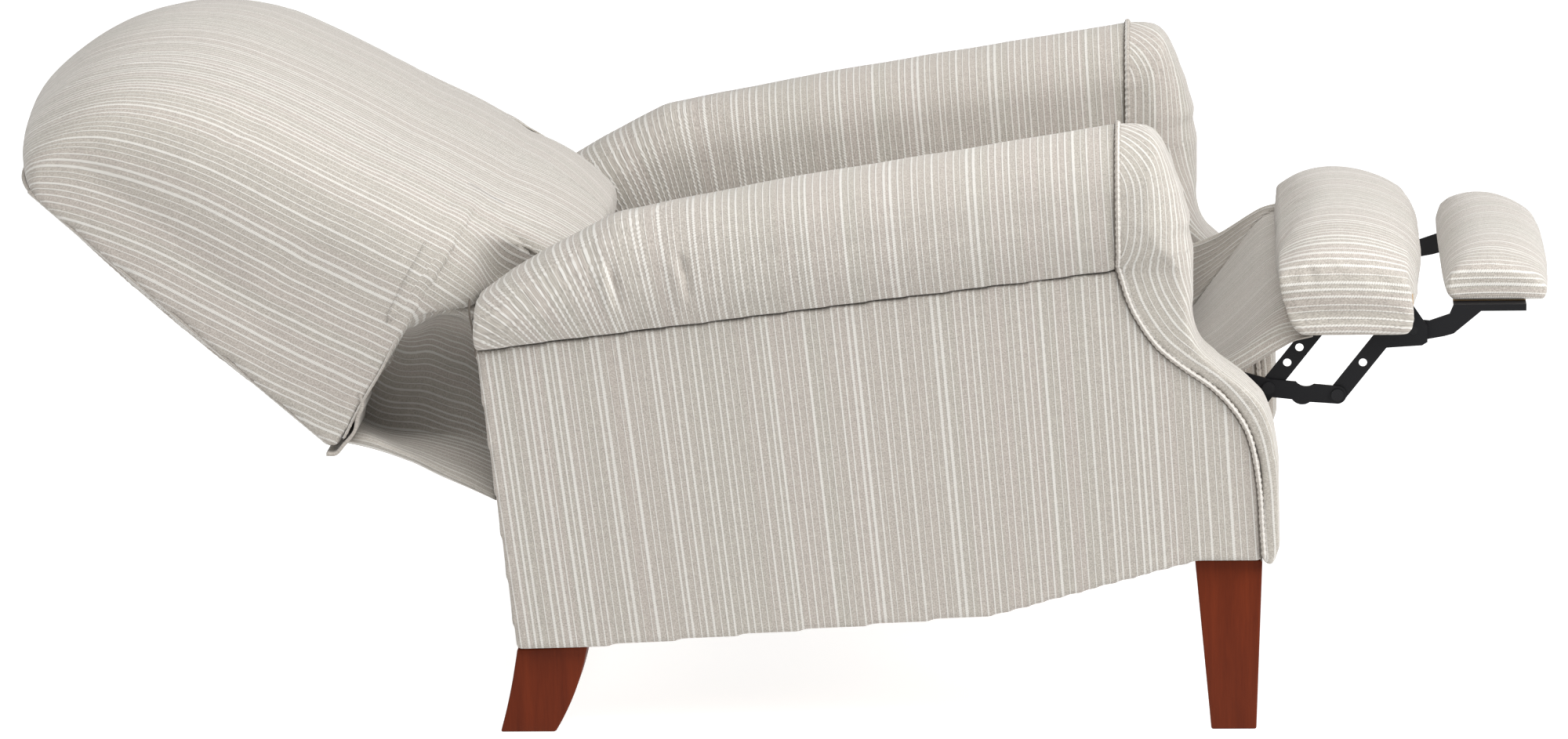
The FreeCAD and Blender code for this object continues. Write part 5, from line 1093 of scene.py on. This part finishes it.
# The photo's camera: a long lens, a little to the chair's front and tilted by a degree
TARGET = Vector((-0.0145, 0.0, 0.311))
AZIMUTH, ELEVATION, ROLL = (math.radians(a) for a in (3.9, 12.2, -1.25))
DISTANCE = 7.6
FOCAL_PIXELS, PHOTO_WIDTH, SENSOR_WIDTH = 8907.2, 2000, 36.0
FARTHEST = 60.0
level = math.cos(ELEVATION)
away = Vector((math.sin(AZIMUTH) * level, -math.cos(AZIMUTH) * level, math.sin(ELEVATION)))
across = Vector((0, 0, 1)).cross(away).normalized()
upward = away.cross(across)
right = math.cos(ROLL) * across + math.sin(ROLL) * upward
top = -math.sin(ROLL) * across + math.cos(ROLL) * upward
camera = link(bpy.data.objects.new("camera", bpy.data.cameras.new("camera")))
camera.data.sensor_width = SENSOR_WIDTH
camera.data.lens = SENSOR_WIDTH * FOCAL_PIXELS / PHOTO_WIDTH
camera.data.clip_end = FARTHEST
turn = Matrix((right, top, away)).transposed().to_4x4()
camera.matrix_world = Matrix.Translation(TARGET + DISTANCE * away) @ turn
bpy.context.scene.camera = camera


def area_light(name, place, target, size, power):
    """A rectangular lamp that looks from its place to the target"""
    light = bpy.data.lights.new(name, "AREA")
    light.shape = "RECTANGLE"
    light.size, light.size_y = size
    light.energy = power
    obj = link(bpy.data.objects.new(name, light))
    obj.location = place
    obj.rotation_mode = "QUATERNION"
    obj.rotation_quaternion = (Vector(target) - Vector(place)).to_track_quat("-Z", "Y")


area_light("over", (0.0, -1.35, 3.2), (0, 0, 0.4), (3.2, 2.4), 106)
area_light("front", (3.3, -1.3, 2.1), (0.1, 0, 0.4), (1.8, 1.8), 125)

WHITE = (1, 1, 1)
FLOOR_TONES = ((0.42, 0.42, 0.42), (0.45, 0.45, 0.45))
FLOOR_GLOW = 0.85  # brings the floor to the photo's white
FLOOR_HALF = 9

world = bpy.data.worlds.new("studio")
world.use_nodes = True
background = world.node_tree.nodes["Background"].inputs
background["Color"].default_value = opaque(WHITE)
background["Strength"].default_value = 0.5
bpy.context.scene.world = world
bpy.context.scene.view_settings.view_transform = "Standard"

corners = [(x * FLOOR_HALF, y * FLOOR_HALF, 0) for x, y in ((-1, -1), (1, -1), (1, 1), (-1, 1))]
floor = mesh_object("floor", corners, [(0, 1, 2, 3)])
pale = Nodes("floor_white")
patches = pale.noise(pale.add("ShaderNodeTexCoord").outputs["Object"], 3.0)
pale.to(Base_Color=pale.mix(patches, *map(opaque, FLOOR_TONES)), Roughness=0.9)
pale.to(Emission_Color=opaque(WHITE), Emission_Strength=FLOOR_GLOW)
paint(floor, pale.material)
